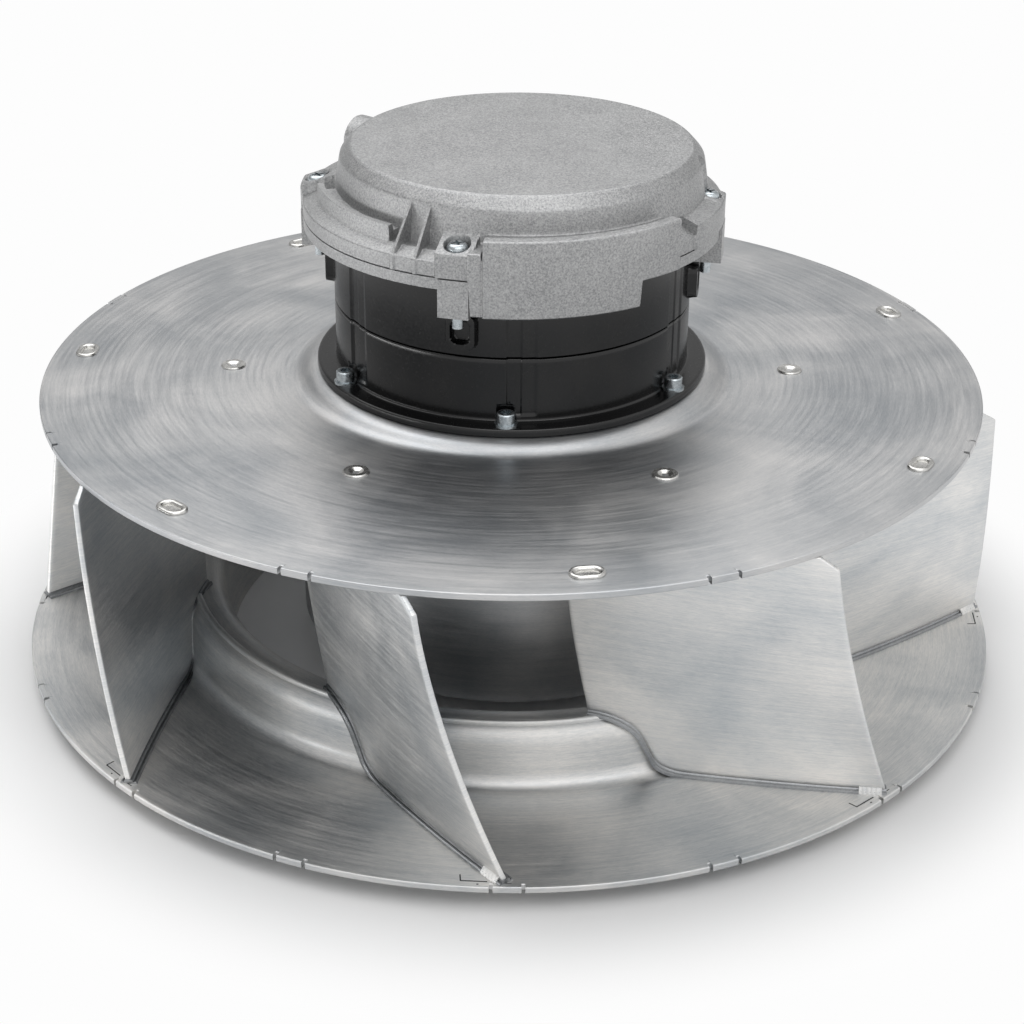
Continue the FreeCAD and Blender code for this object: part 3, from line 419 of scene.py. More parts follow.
# %% Lip along the foot
# Half the section, (across the sheet, up from the foot): two ridges with a groove between them
lip_half = np.array([(1.25, 2.1), (1.9, 1.85), (2.3, 0.7), (2.8, 1.35), (3.4, 1.2), (3.8, 0.35),
                     (3.8, -0.5)])
lip_section = np.vstack((lip_half, (lip_half * (-1, 1))[::-1]))
path = at(foot_r, blade_azimuth(foot_r, foot), foot)
along = np.gradient(path, axis=0)
along /= np.linalg.norm(along, axis=1, keepdims=True)
across = np.cross((0, 0, 1), along)
across /= np.linalg.norm(across, axis=1, keepdims=True)
off_sheet = np.cross(along, across)
lip_grid = (path[None] + lip_section[:, 0, None, None] * across[None]
            + lip_section[:, 1, None, None] * off_sheet[None])

# %% Tab at the end of the foot
foot_tab_from_tip = (2.2, 12.2)
foot_tab_ribs = 5
foot_tab_relief = 0.12
tab_section = np.array([(-1.1, 3.6), (-1.5, 3.9), (-4.0, 0.75), (-4.1, -0.1), (-3.4, -0.1)])
tab_outward = np.array([(0.0, 0.0), (-0.6, 0.8), (-0.6, 0.8), (0.0, 0.0), (0.0, 0.0)])
foot_run = np.append(0.0, np.cumsum(np.linalg.norm(np.diff(path, axis=0), axis=1)))
tab_share = np.linspace(0, 1, 61)
tab_run = foot_run[-1] - foot_tab_from_tip[1] + (foot_tab_from_tip[1] - foot_tab_from_tip[0]) * tab_share
tab_path, tab_across, tab_off = (
    np.stack([np.interp(tab_run, foot_run, line[:, axis]) for axis in range(3)], 1)
    for line in (path, across, off_sheet))
relief = foot_tab_relief * (np.cos(2 * np.pi * foot_tab_ribs * tab_share) - 1)
section = tab_section[:, None] + relief[None, :, None] * tab_outward[:, None]
tab_grid = tab_path[None] + section[..., :1] * tab_across[None] + section[..., 1:] * tab_off[None]
print("foot", round(foot_run[-1]), "mm long, tab of", foot_tab_ribs, "ribs")

# %% Eight blades
for k in range(blade_count):
    turn = k * 360.0 / blade_count
    grid = at(blade_r, blade_a + turn, blade_z)
    blade = mesh_from("blade_%d_sheet" % (k + 1), grid.reshape(-1, 3),
                      grid_faces(grid.shape[0], grid.shape[1], False, False).tolist(),
                      "impeller", "mill_aluminium", blade_uv)
    wall = blade.modifiers.new("sheet", "SOLIDIFY")
    wall.thickness = blade_thickness * MM
    wall.offset = 0.0
    edge = blade.modifiers.new("cut_edge", "BEVEL")
    edge.width = blade_edge_round * MM
    edge.segments = 2
    edge.limit_method = "ANGLE"
    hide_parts("blade_%d" % (k + 1))
    tube("blade_%d_lip" % (k + 1), about_axis(lip_grid, turn), "impeller", "mill_aluminium")
    tube("blade_%d_foot_tab" % (k + 1), about_axis(tab_grid, turn), "impeller", "mill_aluminium")

# %% [markdown]
# ## Slits in the shroud
# Beside the outer end of each blade an L-shaped slit is cut in the sheet, where a tool has held
# the blade, and a small notch takes the blade's end. They could be cut through the mesh, which
# would spoil its even quads. They are so narrow that only their darkness shows, so each is a
# very thin bar in painted shade, the shade of the cut, six hundredths of a millimetre above the sheet.

# %% Slits
# Ends of each slit, as (radius, azimuth from the blade), and its width
slit_lines = np.array([[(236.5, -2.0), (236.5, -4.7)], [(236.7, -4.7), (232.4, -4.85)],
                       [(238.1, -2.95), (238.7, -2.95)], [(238.2, -0.25), (238.2, 0.45)]])
slit_widths = np.array([0.55, 0.55, 0.9, 1.7])
slit_rooted = 0.3
slit_proud = 0.06


def flat_bars(name, starts, ends, widths, low, high, body, slot):
    """Flat bars between start and end points in plan, each with a width, from low to high: four
    corners beside the two points at each height, and six faces."""
    run = ends - starts
    run = run / np.linalg.norm(run, axis=1, keepdims=True)
    side = np.stack((-run[:, 1], run[:, 0]), 1) * widths[:, None] / 2
    ring = np.stack((starts - side, ends - side, ends + side, starts + side), 1)
    points = np.concatenate([np.insert(ring, 2, level, axis=2) for level in (low, high)], axis=1)
    box = np.array([(3, 2, 1, 0), (4, 5, 6, 7), (0, 1, 5, 4), (1, 2, 6, 5), (2, 3, 7, 6), (3, 0, 4, 7)])
    faces = (box[None] + 8 * np.arange(len(starts))[:, None, None]).reshape(-1, 4)
    piece = mesh_from(name, points.reshape(-1, 3), faces.tolist(), body, slot)
    piece.data.shade_flat()
    return piece


slit_turns = np.arange(blade_count) * 360.0 / blade_count
slit_ends = at(slit_lines[None, ..., 0], slit_lines[None, ..., 1] + slit_turns[:, None, None], 0.0)[..., :2]
slit_ends = slit_ends.reshape(-1, 2, 2)
# Dark bars of painted shade where the slits are cut
flat_bars("shroud_slits", slit_ends[:, 0], slit_ends[:, 1], np.tile(slit_widths, blade_count),
          shroud_top - slit_rooted, shroud_top + slit_proud, "impeller", "mill_aluminium")

# %% [markdown]
# ## Spun drum round the rotor
# Between the blades a smooth drum shows. It is spun from sheet, with a rounded lower corner. A
# capped cylinder with a bevel would do, but a closed profile keeps both sides of the sheet and
# their true thickness.

# %% Drum
shell_radius = 104.0
shell_thickness = 1.5
shell_floor = 14.0
shell_corner = 6.0
shell_middle = 60.0
shell_centre = 0.3


def turned(name, profile, body, slot, columns):
    """A closed profile, alike all round, carried round the axis."""
    azimuth = np.arange(columns) * 360.0 / columns
    wide = np.ones((1, columns))
    return ring_surface(name, profile[:, :1] * wide, azimuth, profile[:, 1:] * wide, body, slot)


shell_top = plate_bottom - shell_thickness
shell_inner = shell_radius - shell_thickness
shell_inner_floor = shell_floor + shell_thickness
outer_corner = corner((shell_radius, shell_floor), (0, shell_floor), (shell_radius, shell_top),
                      shell_corner, 8)
inner_corner = corner((shell_inner, shell_inner_floor), (shell_inner, shell_top), (0, shell_inner_floor),
                      shell_corner - shell_thickness, 8)
shell = turned("hub_shell_sheet", np.vstack((
    [(shell_centre, shell_floor)], outer_corner, [(shell_radius, shell_middle), (shell_radius, shell_top)],
    [(shell_inner, shell_top), (shell_inner, shell_middle)], inner_corner,
    [(shell_centre, shell_inner_floor)])), "impeller", "mill_aluminium", 240)
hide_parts("hub_shell")

# %% [markdown]
# ## Black rotor bell
# The turned, powder-coated cup of the motor. It has six shallow upright flutes, and a small
# pocket in the foot of its wall for each screw. The flutes and pockets could be cut out with
# booleans. Here its wall is one radius that depends on azimuth and height, so each flute and
# pocket is only a smaller radius there, and the mesh stays even.

# %% Sizes of the bell
flange_radius = 93.5
flange_low = plate_top + hub_rise
flange_top = flange_low + 4.0
bell_radius = 84.4
bell_wall = 3.9
bell_least_wall = 1.8
bell_top = flange_top + 30.0
bell_body_radius = 76.0
bell_body_wall = 3.5
bell_floor = 36.0
bell_floor_thickness = 5.0
bell_chamfer = 3.0
shaft_hub_radius = 16.0
shaft_hub_height = 19.0
shaft_bore_radius = 7.5
flute_azimuths = 3.0 + 60.0 * np.arange(6)
flute_width = 13.0
flute_depth = 1.0
right_flute_share = 0.55
flute_soft = (0.6, 0.3, 1.2)
screw_azimuths = -1.5 + 60.0 * np.arange(6)
pocket_radius = 6.2
pocket_centre = 88.6
pocket_top = 160.0
foot_round = 1.2
print("bell", 2 * bell_radius, "mm across, from", bell_floor, "to", bell_top)


# %% Flutes and pockets of the bell
def soft_step(value, edge, half_width):
    """0 below an edge and 1 above it, with a smooth S, t^2 (3 - 2 t), between."""
    t = np.clip((value - edge) / (2 * half_width) + 0.5, 0, 1)
    return t * t * (3 - 2 * t)


def flute_dip(azimuth):
    """Depth of the flutes at an azimuth: the left half is deeper than the right half."""
    dip = 0.0
    for centre in flute_azimuths:
        across = np.radians(off_axis(azimuth, centre)) * bell_radius
        middle = soft_step(across, 0.0, flute_soft[1])
        left = soft_step(across, -flute_width / 2, flute_soft[0]) - middle
        right = middle - soft_step(across, flute_width / 2, flute_soft[2])
        dip = dip + flute_depth * (left + right_flute_share * right)
    return dip


def bell_outside(azimuth, height):
    """Radius of the bell's wall: the plain radius less the flutes, or the pocket's round wall."""
    radius = bell_radius - flute_dip(azimuth) * soft_step(height, flange_top + 3.0, 0.5)
    for centre in screw_azimuths:
        turn_to = np.radians(off_axis(azimuth, centre))
        side = pocket_centre * np.sin(turn_to)
        inside = (np.abs(side) < pocket_radius) & (np.cos(turn_to) > 0)
        cut = pocket_centre * np.cos(turn_to) - np.sqrt(np.clip(pocket_radius ** 2 - side ** 2, 0, None))
        depth = np.where(inside, np.clip(radius - cut, 0, None), 0.0)
        radius = radius - depth * (1 - soft_step(height, pocket_top, 0.5))
    return radius


# %% Rotor bell
def azimuths_with(step, centres, reach, fine):
    """Azimuths all round, every step degrees, and every fine degrees near each centre."""
    near = [np.arange(c - reach, c + reach + fine / 2, fine) for c in centres]
    return np.unique(np.round(np.concatenate([np.arange(0, 360, step)] + near) % 360.0, 4))


bell_azimuth = azimuths_with(1.5, np.concatenate((flute_azimuths, screw_azimuths)), 6.0, 0.4)
ones = np.ones(len(bell_azimuth))
wall_z = np.concatenate((np.linspace(flange_top + 2.0, pocket_top - 0.8, 8),
                         np.linspace(pocket_top - 0.5, pocket_top + 0.5, 5),
                         np.linspace(pocket_top + 1.0, bell_top - 0.6, 12)))
aa, zz = np.meshgrid(bell_azimuth, wall_z)
outside = bell_outside(aa, zz)
inside = np.minimum(bell_radius - bell_wall, outside - bell_least_wall)[::-1]
foot_wall = bell_outside(bell_azimuth, flange_top + 1.5 * ones)
foot_turn = np.linspace(0, np.pi / 2, 5)[1:, None]
foot_out = np.minimum(foot_wall[None] + foot_round + 0.4, flange_radius - 2.0)
# Each line below is (radius, height) points of the profile that are alike all round
flange_line = np.array([
    (bell_body_radius, flange_low), (bell_body_radius + 0.5, flange_low), (flange_radius - 0.5, flange_low),
    (flange_radius, flange_low + 0.5), (flange_radius, flange_top - 0.9),
    (flange_radius - 0.3, flange_top - 0.3), (flange_radius - 0.9, flange_top),
    (flange_radius - 1.6, flange_top)])
body_line = np.array([
    (bell_radius - bell_wall, flange_top), (bell_body_radius - bell_body_wall, flange_top - bell_wall),
    (bell_body_radius - bell_body_wall, bell_floor + bell_floor_thickness),
    (shaft_hub_radius, bell_floor + bell_floor_thickness),
    (shaft_hub_radius, bell_floor + shaft_hub_height),
    (shaft_bore_radius, bell_floor + shaft_hub_height), (shaft_bore_radius, bell_floor),
    (bell_body_radius - bell_chamfer, bell_floor), (bell_body_radius, bell_floor + bell_chamfer)])
bell = ring_surface(
    "rotor_bell_turned",
    np.vstack((flange_line[:, :1] * ones, foot_out,
               foot_wall[None] + foot_round * (1 - np.sin(foot_turn)), outside,
               np.stack((outside[-1] - 0.2, outside[-1] - 0.6, inside[0] + 0.3)), inside,
               body_line[:, :1] * ones)),
    bell_azimuth,
    np.vstack((flange_line[:, 1:] * ones, flange_top * ones[None],
               flange_top + foot_round * (1 - np.cos(foot_turn)) * ones, zz,
               np.array([[bell_top - 0.2], [bell_top], [bell_top]]) * ones, zz[::-1],
               body_line[:, 1:] * ones)),
    "impeller", "black_coating")
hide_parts("rotor_bell")

# %% [markdown]
# ## Black fixed ring
# The still ring above the seam carries on the bell's flutes. Under each cover screw it has a lug
# with a window, into which the screw's end dips. The lugs could be boxes joined to the ring, but
# their corners are round and they grow out of the wall. So each lug is a rounded rectangle,
# described by the distance to its outline, that stands out from the wall, and the window is a
# smaller one that goes back in.

# %% Sizes of the fixed ring
ring_bottom = bell_top + 0.6
ring_top = 218.0
ring_seat_radius = 68.0
ring_shelf = 3.0
lug_reach = 4.2
lug_size = (14.0, 17.0)
lug_round = 4.0
lug_drop = 14.5
lug_low = ring_top - lug_drop - lug_size[1]
window_size = (8.0, 10.0)
window_round = 2.5
window_rise = 3.5
window_low = lug_low + window_rise
window_back = 0.6
cover_screw_azimuths = np.array((-15.0, 80.0, 168.0, -92.0))
print("ring from", ring_bottom, "to", ring_top, "with lugs at", cover_screw_azimuths)


# %% Fixed ring
def rounded_rectangle(across, up, size, round_radius):
    """Distance outside a rounded rectangle that is centred on the origin, negative inside."""
    dx = np.abs(across) - size[0] / 2 + round_radius
    dy = np.abs(up) - size[1] / 2 + round_radius
    return (np.hypot(np.maximum(dx, 0), np.maximum(dy, 0)) + np.minimum(np.maximum(dx, dy), 0)
            - round_radius)


ring_azimuth = azimuths_with(2.0, np.concatenate((flute_azimuths, cover_screw_azimuths)), 6.0, 0.3)
ring_z = np.concatenate(([ring_bottom, ring_bottom + 0.3], np.linspace(ring_bottom + 1, lug_low - 0.7, 4),
                         np.arange(lug_low - 0.3, lug_low + lug_size[1] + 0.8, 0.4),
                         ring_top - np.array((11.5, 9.0, 8.5, 8.0, 7.5, 4.0, 0.3, 0.0))))
aa, zz = np.meshgrid(ring_azimuth, ring_z)
ring_r = bell_radius - flute_dip(aa) * (1 - soft_step(zz, ring_top - 8.0, 0.5))
for centre in cover_screw_azimuths:
    across = np.radians(off_axis(aa, centre)) * (bell_radius + lug_reach / 2)
    lug = rounded_rectangle(across, zz - lug_low - lug_size[1] / 2, lug_size, lug_round)
    window = rounded_rectangle(across, zz - window_low - window_size[1] / 2, window_size, window_round)
    out = (lug_reach + bell_radius - ring_r) * (1 - soft_step(lug, 0.0, 0.45))
    ring_r = ring_r + out - (lug_reach - window_back) * (1 - soft_step(window, 0.0, 0.4)) * (out > 0)
ring_r[0] -= 0.3
ones = np.ones(len(ring_azimuth))
inner_line = np.array([(ring_seat_radius, ring_top), (ring_seat_radius, ring_top - ring_shelf),
                       (bell_radius - bell_wall, ring_top - ring_shelf),
                       (bell_radius - bell_wall, ring_bottom)])
ring = ring_surface("stator_ring_moulded", np.vstack((ring_r, inner_line[:, :1] * ones)), ring_azimuth,
                    np.vstack((zz, inner_line[:, 1:] * ones)), "stator", "black_coating")
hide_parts("stator_ring")

# %% [markdown]
# ## Electronics cover
# The lid is die-cast and drafted to leave its mould. It could be built from primitives and
# booleans, whose seams would need bevels one by one. Because of the draft, almost all of it can
# be told as one height above each point of the plan: the dome, the ledge, the shoulder at the
# right of the front, the ribs and the screw pads. The largest of these heights wins, with a
# small fillet between them, as in the mould. Only the skirt, which hangs over the motor, needs
# walls of its own.

# %% Sizes of the cover
cover_low = 224.0
lip_low = 223.2
band_radius = 97.9
boss_radius = 98.9
shoulder_radius = 100.6
dome_shift = 4.0
dome_fillet = 3.0
dome_line = np.array([(0, 256), (78.2, 256), (78.8, 255.95), (79.4, 255.7), (80.2, 255.1), (82.0, 253.2),
                      (83.6, 251.4), (84.2, 250.6), (84.5, 249.6), (84.7, 248.5), (87.2, 233), (87.4, 224)])
ledge_line = np.array([(0, 233.0), (91.0, 233.0), (97.9, 230.0), (110.0, 224.8)])
shoulder_start, shoulder_end = -7.5, 47.5
shoulder_height = 242.4
shoulder_drop = 2.2
shoulder_crest_radius = 94.5
shoulder_fillet = 2.4
step_start = -11.5
step_height = 236.0
step_reach = 1.4
block_span = (56.0, 84.0)
block_line = np.array([(87.0, 237.0), (91.0, 237.0), (98.9, 234.5)])
rib_span = (-80.0, -36.0)
rib_height = 240.0
rib_drop = 3.0
rib_radii = (88.0, 91.5)
web_azimuths = (-32.2, -25.6)
web_half_turn = 0.65
web_reach = 0.6
web_line = np.array([(81.5, 251.0), (98.5, 229.5)])
hood_azimuth = -128.0
hood_radius = 12.0
hood_height = 237.5
hood_end = 96.6
pad_half_width = 8.5
pad_half_turn = 4.9
pad_circle = 91.3
pad_line = np.array([(81.5, 241.0), (98.9, 234.6)])
seat_z = 234.2
screw_pocket_radius = 5.7
print("cover from", lip_low, "to", dome_line[0, 1])


# %% Ways to join heights
def smooth_max(a, b, fillet=1.0):
    """The larger of two heights. Where they differ by less than the fillet f, n^2 f / 4 is added,
    where n is the share of f by which they are closer."""
    near = np.clip(fillet - np.abs(a - b), 0, None) / fillet
    return np.maximum(a, b) + near * near * fillet / 4


def height_on(line, radius):
    """Height at a radius of a line of (radius, height) points."""
    return np.interp(radius, line[:, 0], line[:, 1])


def sector(azimuth, start, end, soft=0.35):
    """1 between two azimuths and 0 outside them; soft is half the width of the step in degrees."""
    middle, half = (start + end) / 2, (end - start) / 2
    return 1 - soft_step(np.abs(off_axis(azimuth, middle)), half, soft)


def raised(ground, mask, height, fillet=0.8):
    """The ground with a form on it that is as high as height where the mask is 1."""
    form = smooth_max(ground, cover_low + (height - cover_low) * mask, fillet)
    return form * (mask > 0) + ground * (mask <= 0)


# %% Heights of the cover
def cover_height(radius, azimuth):
    """Height of the cover's outside over a point of its plan: dome and ledge first, then each
    form that stands on them, and the screw pockets cut in last."""
    turn_to = np.radians(azimuth)
    from_dome = np.hypot(radius * np.sin(turn_to) - dome_shift, radius * np.cos(turn_to))
    z = smooth_max(height_on(ledge_line, radius), height_on(dome_line, from_dome), dome_fillet)
    shoulder = shoulder_height - shoulder_drop * (1 - soft_step(radius, shoulder_crest_radius, 0.5))
    z = raised(z, sector(azimuth, shoulder_start, shoulder_end), shoulder, shoulder_fillet)
    z = raised(z, sector(azimuth, step_start, shoulder_start), step_height)
    z = raised(z, sector(azimuth, *block_span), height_on(block_line, radius))
    rib = rib_height - rib_drop * (1 - soft_step(radius, rib_radii[0], 0.4))
    z = raised(z, sector(azimuth, *rib_span) * (1 - soft_step(radius, rib_radii[1], 0.4)), rib)
    for centre in web_azimuths:
        on_web = sector(azimuth, centre - web_half_turn, centre + web_half_turn, 0.25)
        z = raised(z, on_web, height_on(web_line, radius), 0.6)
    across = np.radians(off_axis(azimuth, hood_azimuth)) * radius
    hood = hood_height + np.sqrt(np.clip(hood_radius ** 2 - across ** 2, 0, None))
    on_hood = (1 - soft_step(np.abs(across), hood_radius - 0.1, 0.3)) * (1 - soft_step(radius, hood_end, 0.3))
    z = raised(z, on_hood, hood)
    for centre in cover_screw_azimuths:
        turn_to = np.radians(off_axis(azimuth, centre))
        x, y = radius * np.sin(turn_to), radius * np.cos(turn_to)
        on_pad = (1 - soft_step(np.abs(x), pad_half_width, 0.35)) * (y > 0)
        z = raised(z, on_pad, height_on(pad_line, radius))
        hole = np.hypot(x, y - pad_circle) - screw_pocket_radius
        z = z + (np.minimum(z, seat_z) - z) * (1 - soft_step(hole, 0.0, 0.3))
    return z


def cover_reach(azimuth):
    """Radius of the cover's outer wall at an azimuth: the band, or what stands out furthest."""
    boss = boss_radius - band_radius
    out = (shoulder_radius - band_radius) * sector(azimuth, shoulder_start, shoulder_end)
    out = np.maximum(out, step_reach * sector(azimuth, step_start, shoulder_start))
    out = np.maximum(out, boss * sector(azimuth, *block_span))
    for centre in cover_screw_azimuths:
        out = np.maximum(out, boss * sector(azimuth, centre - pad_half_turn, centre + pad_half_turn))
    for centre in web_azimuths:
        on_web = sector(azimuth, centre - web_half_turn, centre + web_half_turn, 0.25)
        out = np.maximum(out, web_reach * on_web)
    return band_radius + out


# %% Grid of the cover
skirt_start = -10.8
skirt_step = 34.0
skirt_middle = 219.0
skirt_low = 207.2
skirt_wall = 2.4
skirt_thinner_start = 1.3
plain_end = 96.0
cover_middle_radius = 0.2
cavity_line = np.array([(80.0, 224.0), (79.0, 244.0), (72.5, 252.8), (cover_middle_radius, 252.8)])
plain = np.concatenate(([cover_middle_radius, 30, 50, 62, 70, 73], np.arange(74.0, 92.1, 0.2),
                        np.arange(92.5, 96.1, 0.5)))
cover_azimuth = np.unique(np.concatenate((
    azimuths_with(1.2, np.concatenate((cover_screw_azimuths, [*web_azimuths, -29.0])), 6.6, 0.3),
    azimuths_with(1.2, (step_start, shoulder_start, shoulder_end, *block_span, skirt_step, *rib_span),
                  1.2, 0.2),
    azimuths_with(1.2, (hood_azimuth,), 8.0, 0.4))))
print("cover's grid", len(plain), "plain rows,", len(cover_azimuth), "columns")

# %% Electronics cover
reach = cover_reach(cover_azimuth)
ones = np.ones(len(reach))
edge_round = 0.9
quarter = np.linspace(0, np.pi / 2, 5)[1:, None]
outer = plain_end + (reach[None] - edge_round - plain_end) * np.linspace(0, 1, 8)[1:, None]
rows = np.vstack((plain[:, None] * ones, outer))
heights = cover_height(rows, cover_azimuth[None, :])
edge_z = cover_height((reach - edge_round)[None], cover_azimuth[None, :])
rim_r = (reach - edge_round)[None] + edge_round * np.sin(quarter)
rim_z = edge_z - edge_round * (1 - np.cos(quarter))
long_skirt = sector(cover_azimuth, skirt_start, skirt_step)
short_skirt = sector(cover_azimuth, skirt_start, shoulder_end)
skirt = lip_low - (lip_low - skirt_middle) * short_skirt - (skirt_middle - skirt_low) * long_skirt
skirt_in = reach - skirt_wall + skirt_thinner_start * sector(cover_azimuth, skirt_start, shoulder_start)
skirt_root = np.minimum(skirt + 0.3, cover_low) + (cover_low - skirt - 0.3).clip(0, None)
cover = ring_surface(
    "electronics_cover_cast",
    np.vstack((rows, rim_r, reach - 0.05, reach, reach - 0.5, skirt_in + 0.3, skirt_in,
               cavity_line[:, :1] * ones))[::-1],
    cover_azimuth,
    np.vstack((heights, rim_z, (rim_z[-1] + skirt) / 2, skirt + 0.5, skirt, skirt, skirt_root,
               cavity_line[:, 1:] * ones))[::-1],
    "stator", "cast_aluminium")
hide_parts("electronics_cover")

# %% [markdown]
# ## Finishes
# Every finish is made of nodes, because patterns that are worked out stay sharp at any distance,
# which a picture would not. One function turns an sRGB hex value to linear, and one adds a node
# with its settings and its links. A pattern's scale is given in repeats per millimetre.

# %% Helpers for finishes
def linear(hex_value):
    """Linear RGBA from an sRGB hex value."""
    values = np.array([int(hex_value[i:i + 2], 16) for i in (1, 3, 5)]) / 255
    values = np.where(values <= 0.04045, values / 12.92, ((values + 0.055) / 1.055) ** 2.4)
    return (*values.tolist(), 1.0)


def add(tree, kind, options=None, values=None, links=None):
    """Adds a node: options are its own settings, values and links are for its input sockets. A
    link comes from a socket, or from the first output of a node."""
    node = tree.nodes.new(kind)
    for key, value in (options or {}).items():
        setattr(node, key, value)
    for key, value in (values or {}).items():
        node.inputs[key].default_value = value
    for key, source in (links or {}).items():
        tree.links.new(source.outputs[0] if hasattr(source, "outputs") else source, node.inputs[key])
    return node


def start_material(name, hex_value, metallic, roughness):
    """A named material with its shader's plain values; returns it, its nodes and its shader."""
    material = bpy.data.materials.new(name)
    material.use_nodes = True
    tree = material.node_tree
    shader = tree.nodes["Principled BSDF"]
    shader.inputs["Base Color"].default_value = linear(hex_value)
    shader.inputs["Metallic"].default_value = metallic
    shader.inputs["Roughness"].default_value = roughness
    return material, tree, shader


# %% Patterns and what they drive
def pattern(tree, source, per_mm, detail, roughness=0.55, distortion=0.0):
    """Noise over the source's coordinates, with so many clouds per millimetre along each."""
    space = add(tree, "ShaderNodeMapping", values={"Scale": tuple(1000 * s for s in per_mm)},
                links={"Vector": source})
    return add(tree, "ShaderNodeTexNoise", values={
        "Scale": 1.0, "Detail": detail, "Roughness": roughness, "Distortion": distortion},
        links={"Vector": space})


def dress(tree, shader, colour, roughness, relief):
    """Patterns drive a shader. colour is a pattern, its low and high value and their hex values;
    roughness is a pattern, its low and high value and their roughness; relief is a pattern, its
    depth in mm and its strength."""
    tone, low, high, dark, light = colour
    share = add(tree, "ShaderNodeMapRange", values={"From Min": low, "From Max": high},
                links={"Value": tone})
    mixed = add(tree, "ShaderNodeMix", {"data_type": "RGBA"}, {6: linear(dark), 7: linear(light)},
                {0: share})
    gloss, low, high, smooth, rough = roughness
    spread = add(tree, "ShaderNodeMapRange", values={
        "From Min": low, "From Max": high, "To Min": smooth, "To Max": rough}, links={"Value": gloss})
    height, depth_mm, strength = relief
    bump = add(tree, "ShaderNodeBump", values={"Strength": strength, "Distance": depth_mm * MM},
               links={"Height": height})
    tree.links.new(mixed.outputs[2], shader.inputs["Base Color"])
    tree.links.new(spread.outputs[0], shader.inputs["Roughness"])
    tree.links.new(bump.outputs[0], shader.inputs["Normal"])


# %% [markdown]
# ### Rolled aluminium sheet
# Mill sheet that was spun or rolled keeps fine short scratches along the way it was worked, and
# faint cool and warm clouds from the rolls. The scratches break reflections up into a soft
# satin, and the clouds keep large plain sheets from looking like plastic. Stretched noise could
# run straight across, but on the discs the marks run round the axis. So there they read a polar
# space, and on a blade they follow the sheet by its UV map.

# %% Rolled aluminium
def round_the_axis(tree):
    """A polar space in metres: the arc length at 0.2 m round the axis, the radius, the height.
    Its seam is at the back."""
    x, y, z = add(tree, "ShaderNodeSeparateXYZ", links={
        "Vector": add(tree, "ShaderNodeTexCoord").outputs["Object"]}).outputs
    front = add(tree, "ShaderNodeMath", {"operation": "MULTIPLY"}, {1: -1.0}, {0: y})
    angle = add(tree, "ShaderNodeMath", {"operation": "ARCTAN2"}, links={0: x, 1: front})
    arc = add(tree, "ShaderNodeMath", {"operation": "MULTIPLY"}, {1: 0.2}, {0: angle})
    flat = add(tree, "ShaderNodeCombineXYZ", links={"X": x, "Y": y})
    radius = add(tree, "ShaderNodeVectorMath", {"operation": "LENGTH"}, links={0: flat})
    return add(tree, "ShaderNodeCombineXYZ", links={"X": arc, "Y": radius.outputs["Value"], "Z": z})


def rolled_aluminium(name, follows_sheet, dark, light, smooth, rough):
    """Satin sheet. Streaks are 50 mm long and 1.7 mm wide, scratches 4.5 mm long and 0.5 mm
    wide, which is coarser than real ones so that they show, and clouds are 60 mm across."""
    material, tree, shader = start_material(name, light, 1.0, 0.42)
    place = add(tree, "ShaderNodeTexCoord")
    source = place.outputs["UV"] if follows_sheet else round_the_axis(tree)
    streak = pattern(tree, source, (0.02, 0.6, 0.6), 4.0, 0.6)
    scratch = pattern(tree, source, (0.22, 2.0, 2.0), 4.0, 0.7, 0.8)
    cloud = pattern(tree, place.outputs["Object"], (0.016, 0.016, 0.016), 3.0, 0.5, 0.6)
    # Each sum is one pattern times a weight, plus another
    long_marks = add(tree, "ShaderNodeMath", {"operation": "MULTIPLY_ADD"}, {1: 0.45}, {0: streak, 2: cloud})
    tone = add(tree, "ShaderNodeMath", {"operation": "MULTIPLY_ADD"}, {1: 0.6}, {0: scratch, 2: long_marks})
    gloss = add(tree, "ShaderNodeMath", {"operation": "MULTIPLY_ADD"}, {1: 0.8}, {0: cloud, 2: streak})
    marks = add(tree, "ShaderNodeMath", {"operation": "MULTIPLY_ADD"}, {1: 0.3}, {0: streak, 2: scratch})
    dress(tree, shader, (tone, 0.74, 1.28, dark, light), (gloss, 0.7, 1.1, smooth, rough),
          (marks, 0.025, 0.45))
    print(name, dark, "to", light)
    return material


# Flat disc and drum: an even satin grey with soft reflections of the lamps, in a darker tone of the sheet
# than the blades and the shroud get
rolled_sheet = rolled_aluminium("rolled_aluminium_sheet", False, "#a5a9ad", "#cfcecd", 0.36, 0.46)
# Blades: the same sheet in a paler tone, painted light so that they read bright where they face the light,
# and duller
blade_sheet_painted_light = rolled_aluminium("rolled_aluminium_blade", True, "#bcc1c5", "#f2f0ed", 0.4, 0.52)
# Shroud and foot tabs: the same sheet in a paler tone than the disc, painted light so that the shroud reads
# bright in front, and its gleams are wider from spinning
shroud_sheet = rolled_aluminium("spun_aluminium_shroud_painted_light", False, "#abb0b4", "#e6e4e1", 0.4, 0.52)
# Lips along the feet: the same sheet painted darker, a painted shade that draws a dark line along each blade,
# and glossier
foot_lip_painted_shade = rolled_aluminium("crimped_aluminium_foot", False, "#66686a", "#a4a6a8", 0.3, 0.42)


# %% [markdown]
# ### Cast aluminium
# The cover and the motor's flange are die castings, blasted with fine shot. That gives an even,
# dull, sandy grey without mirror reflections, sharp only at its edges. A plain rough metal would
# look too clean, so a fine noise drives colour, roughness and relief together.

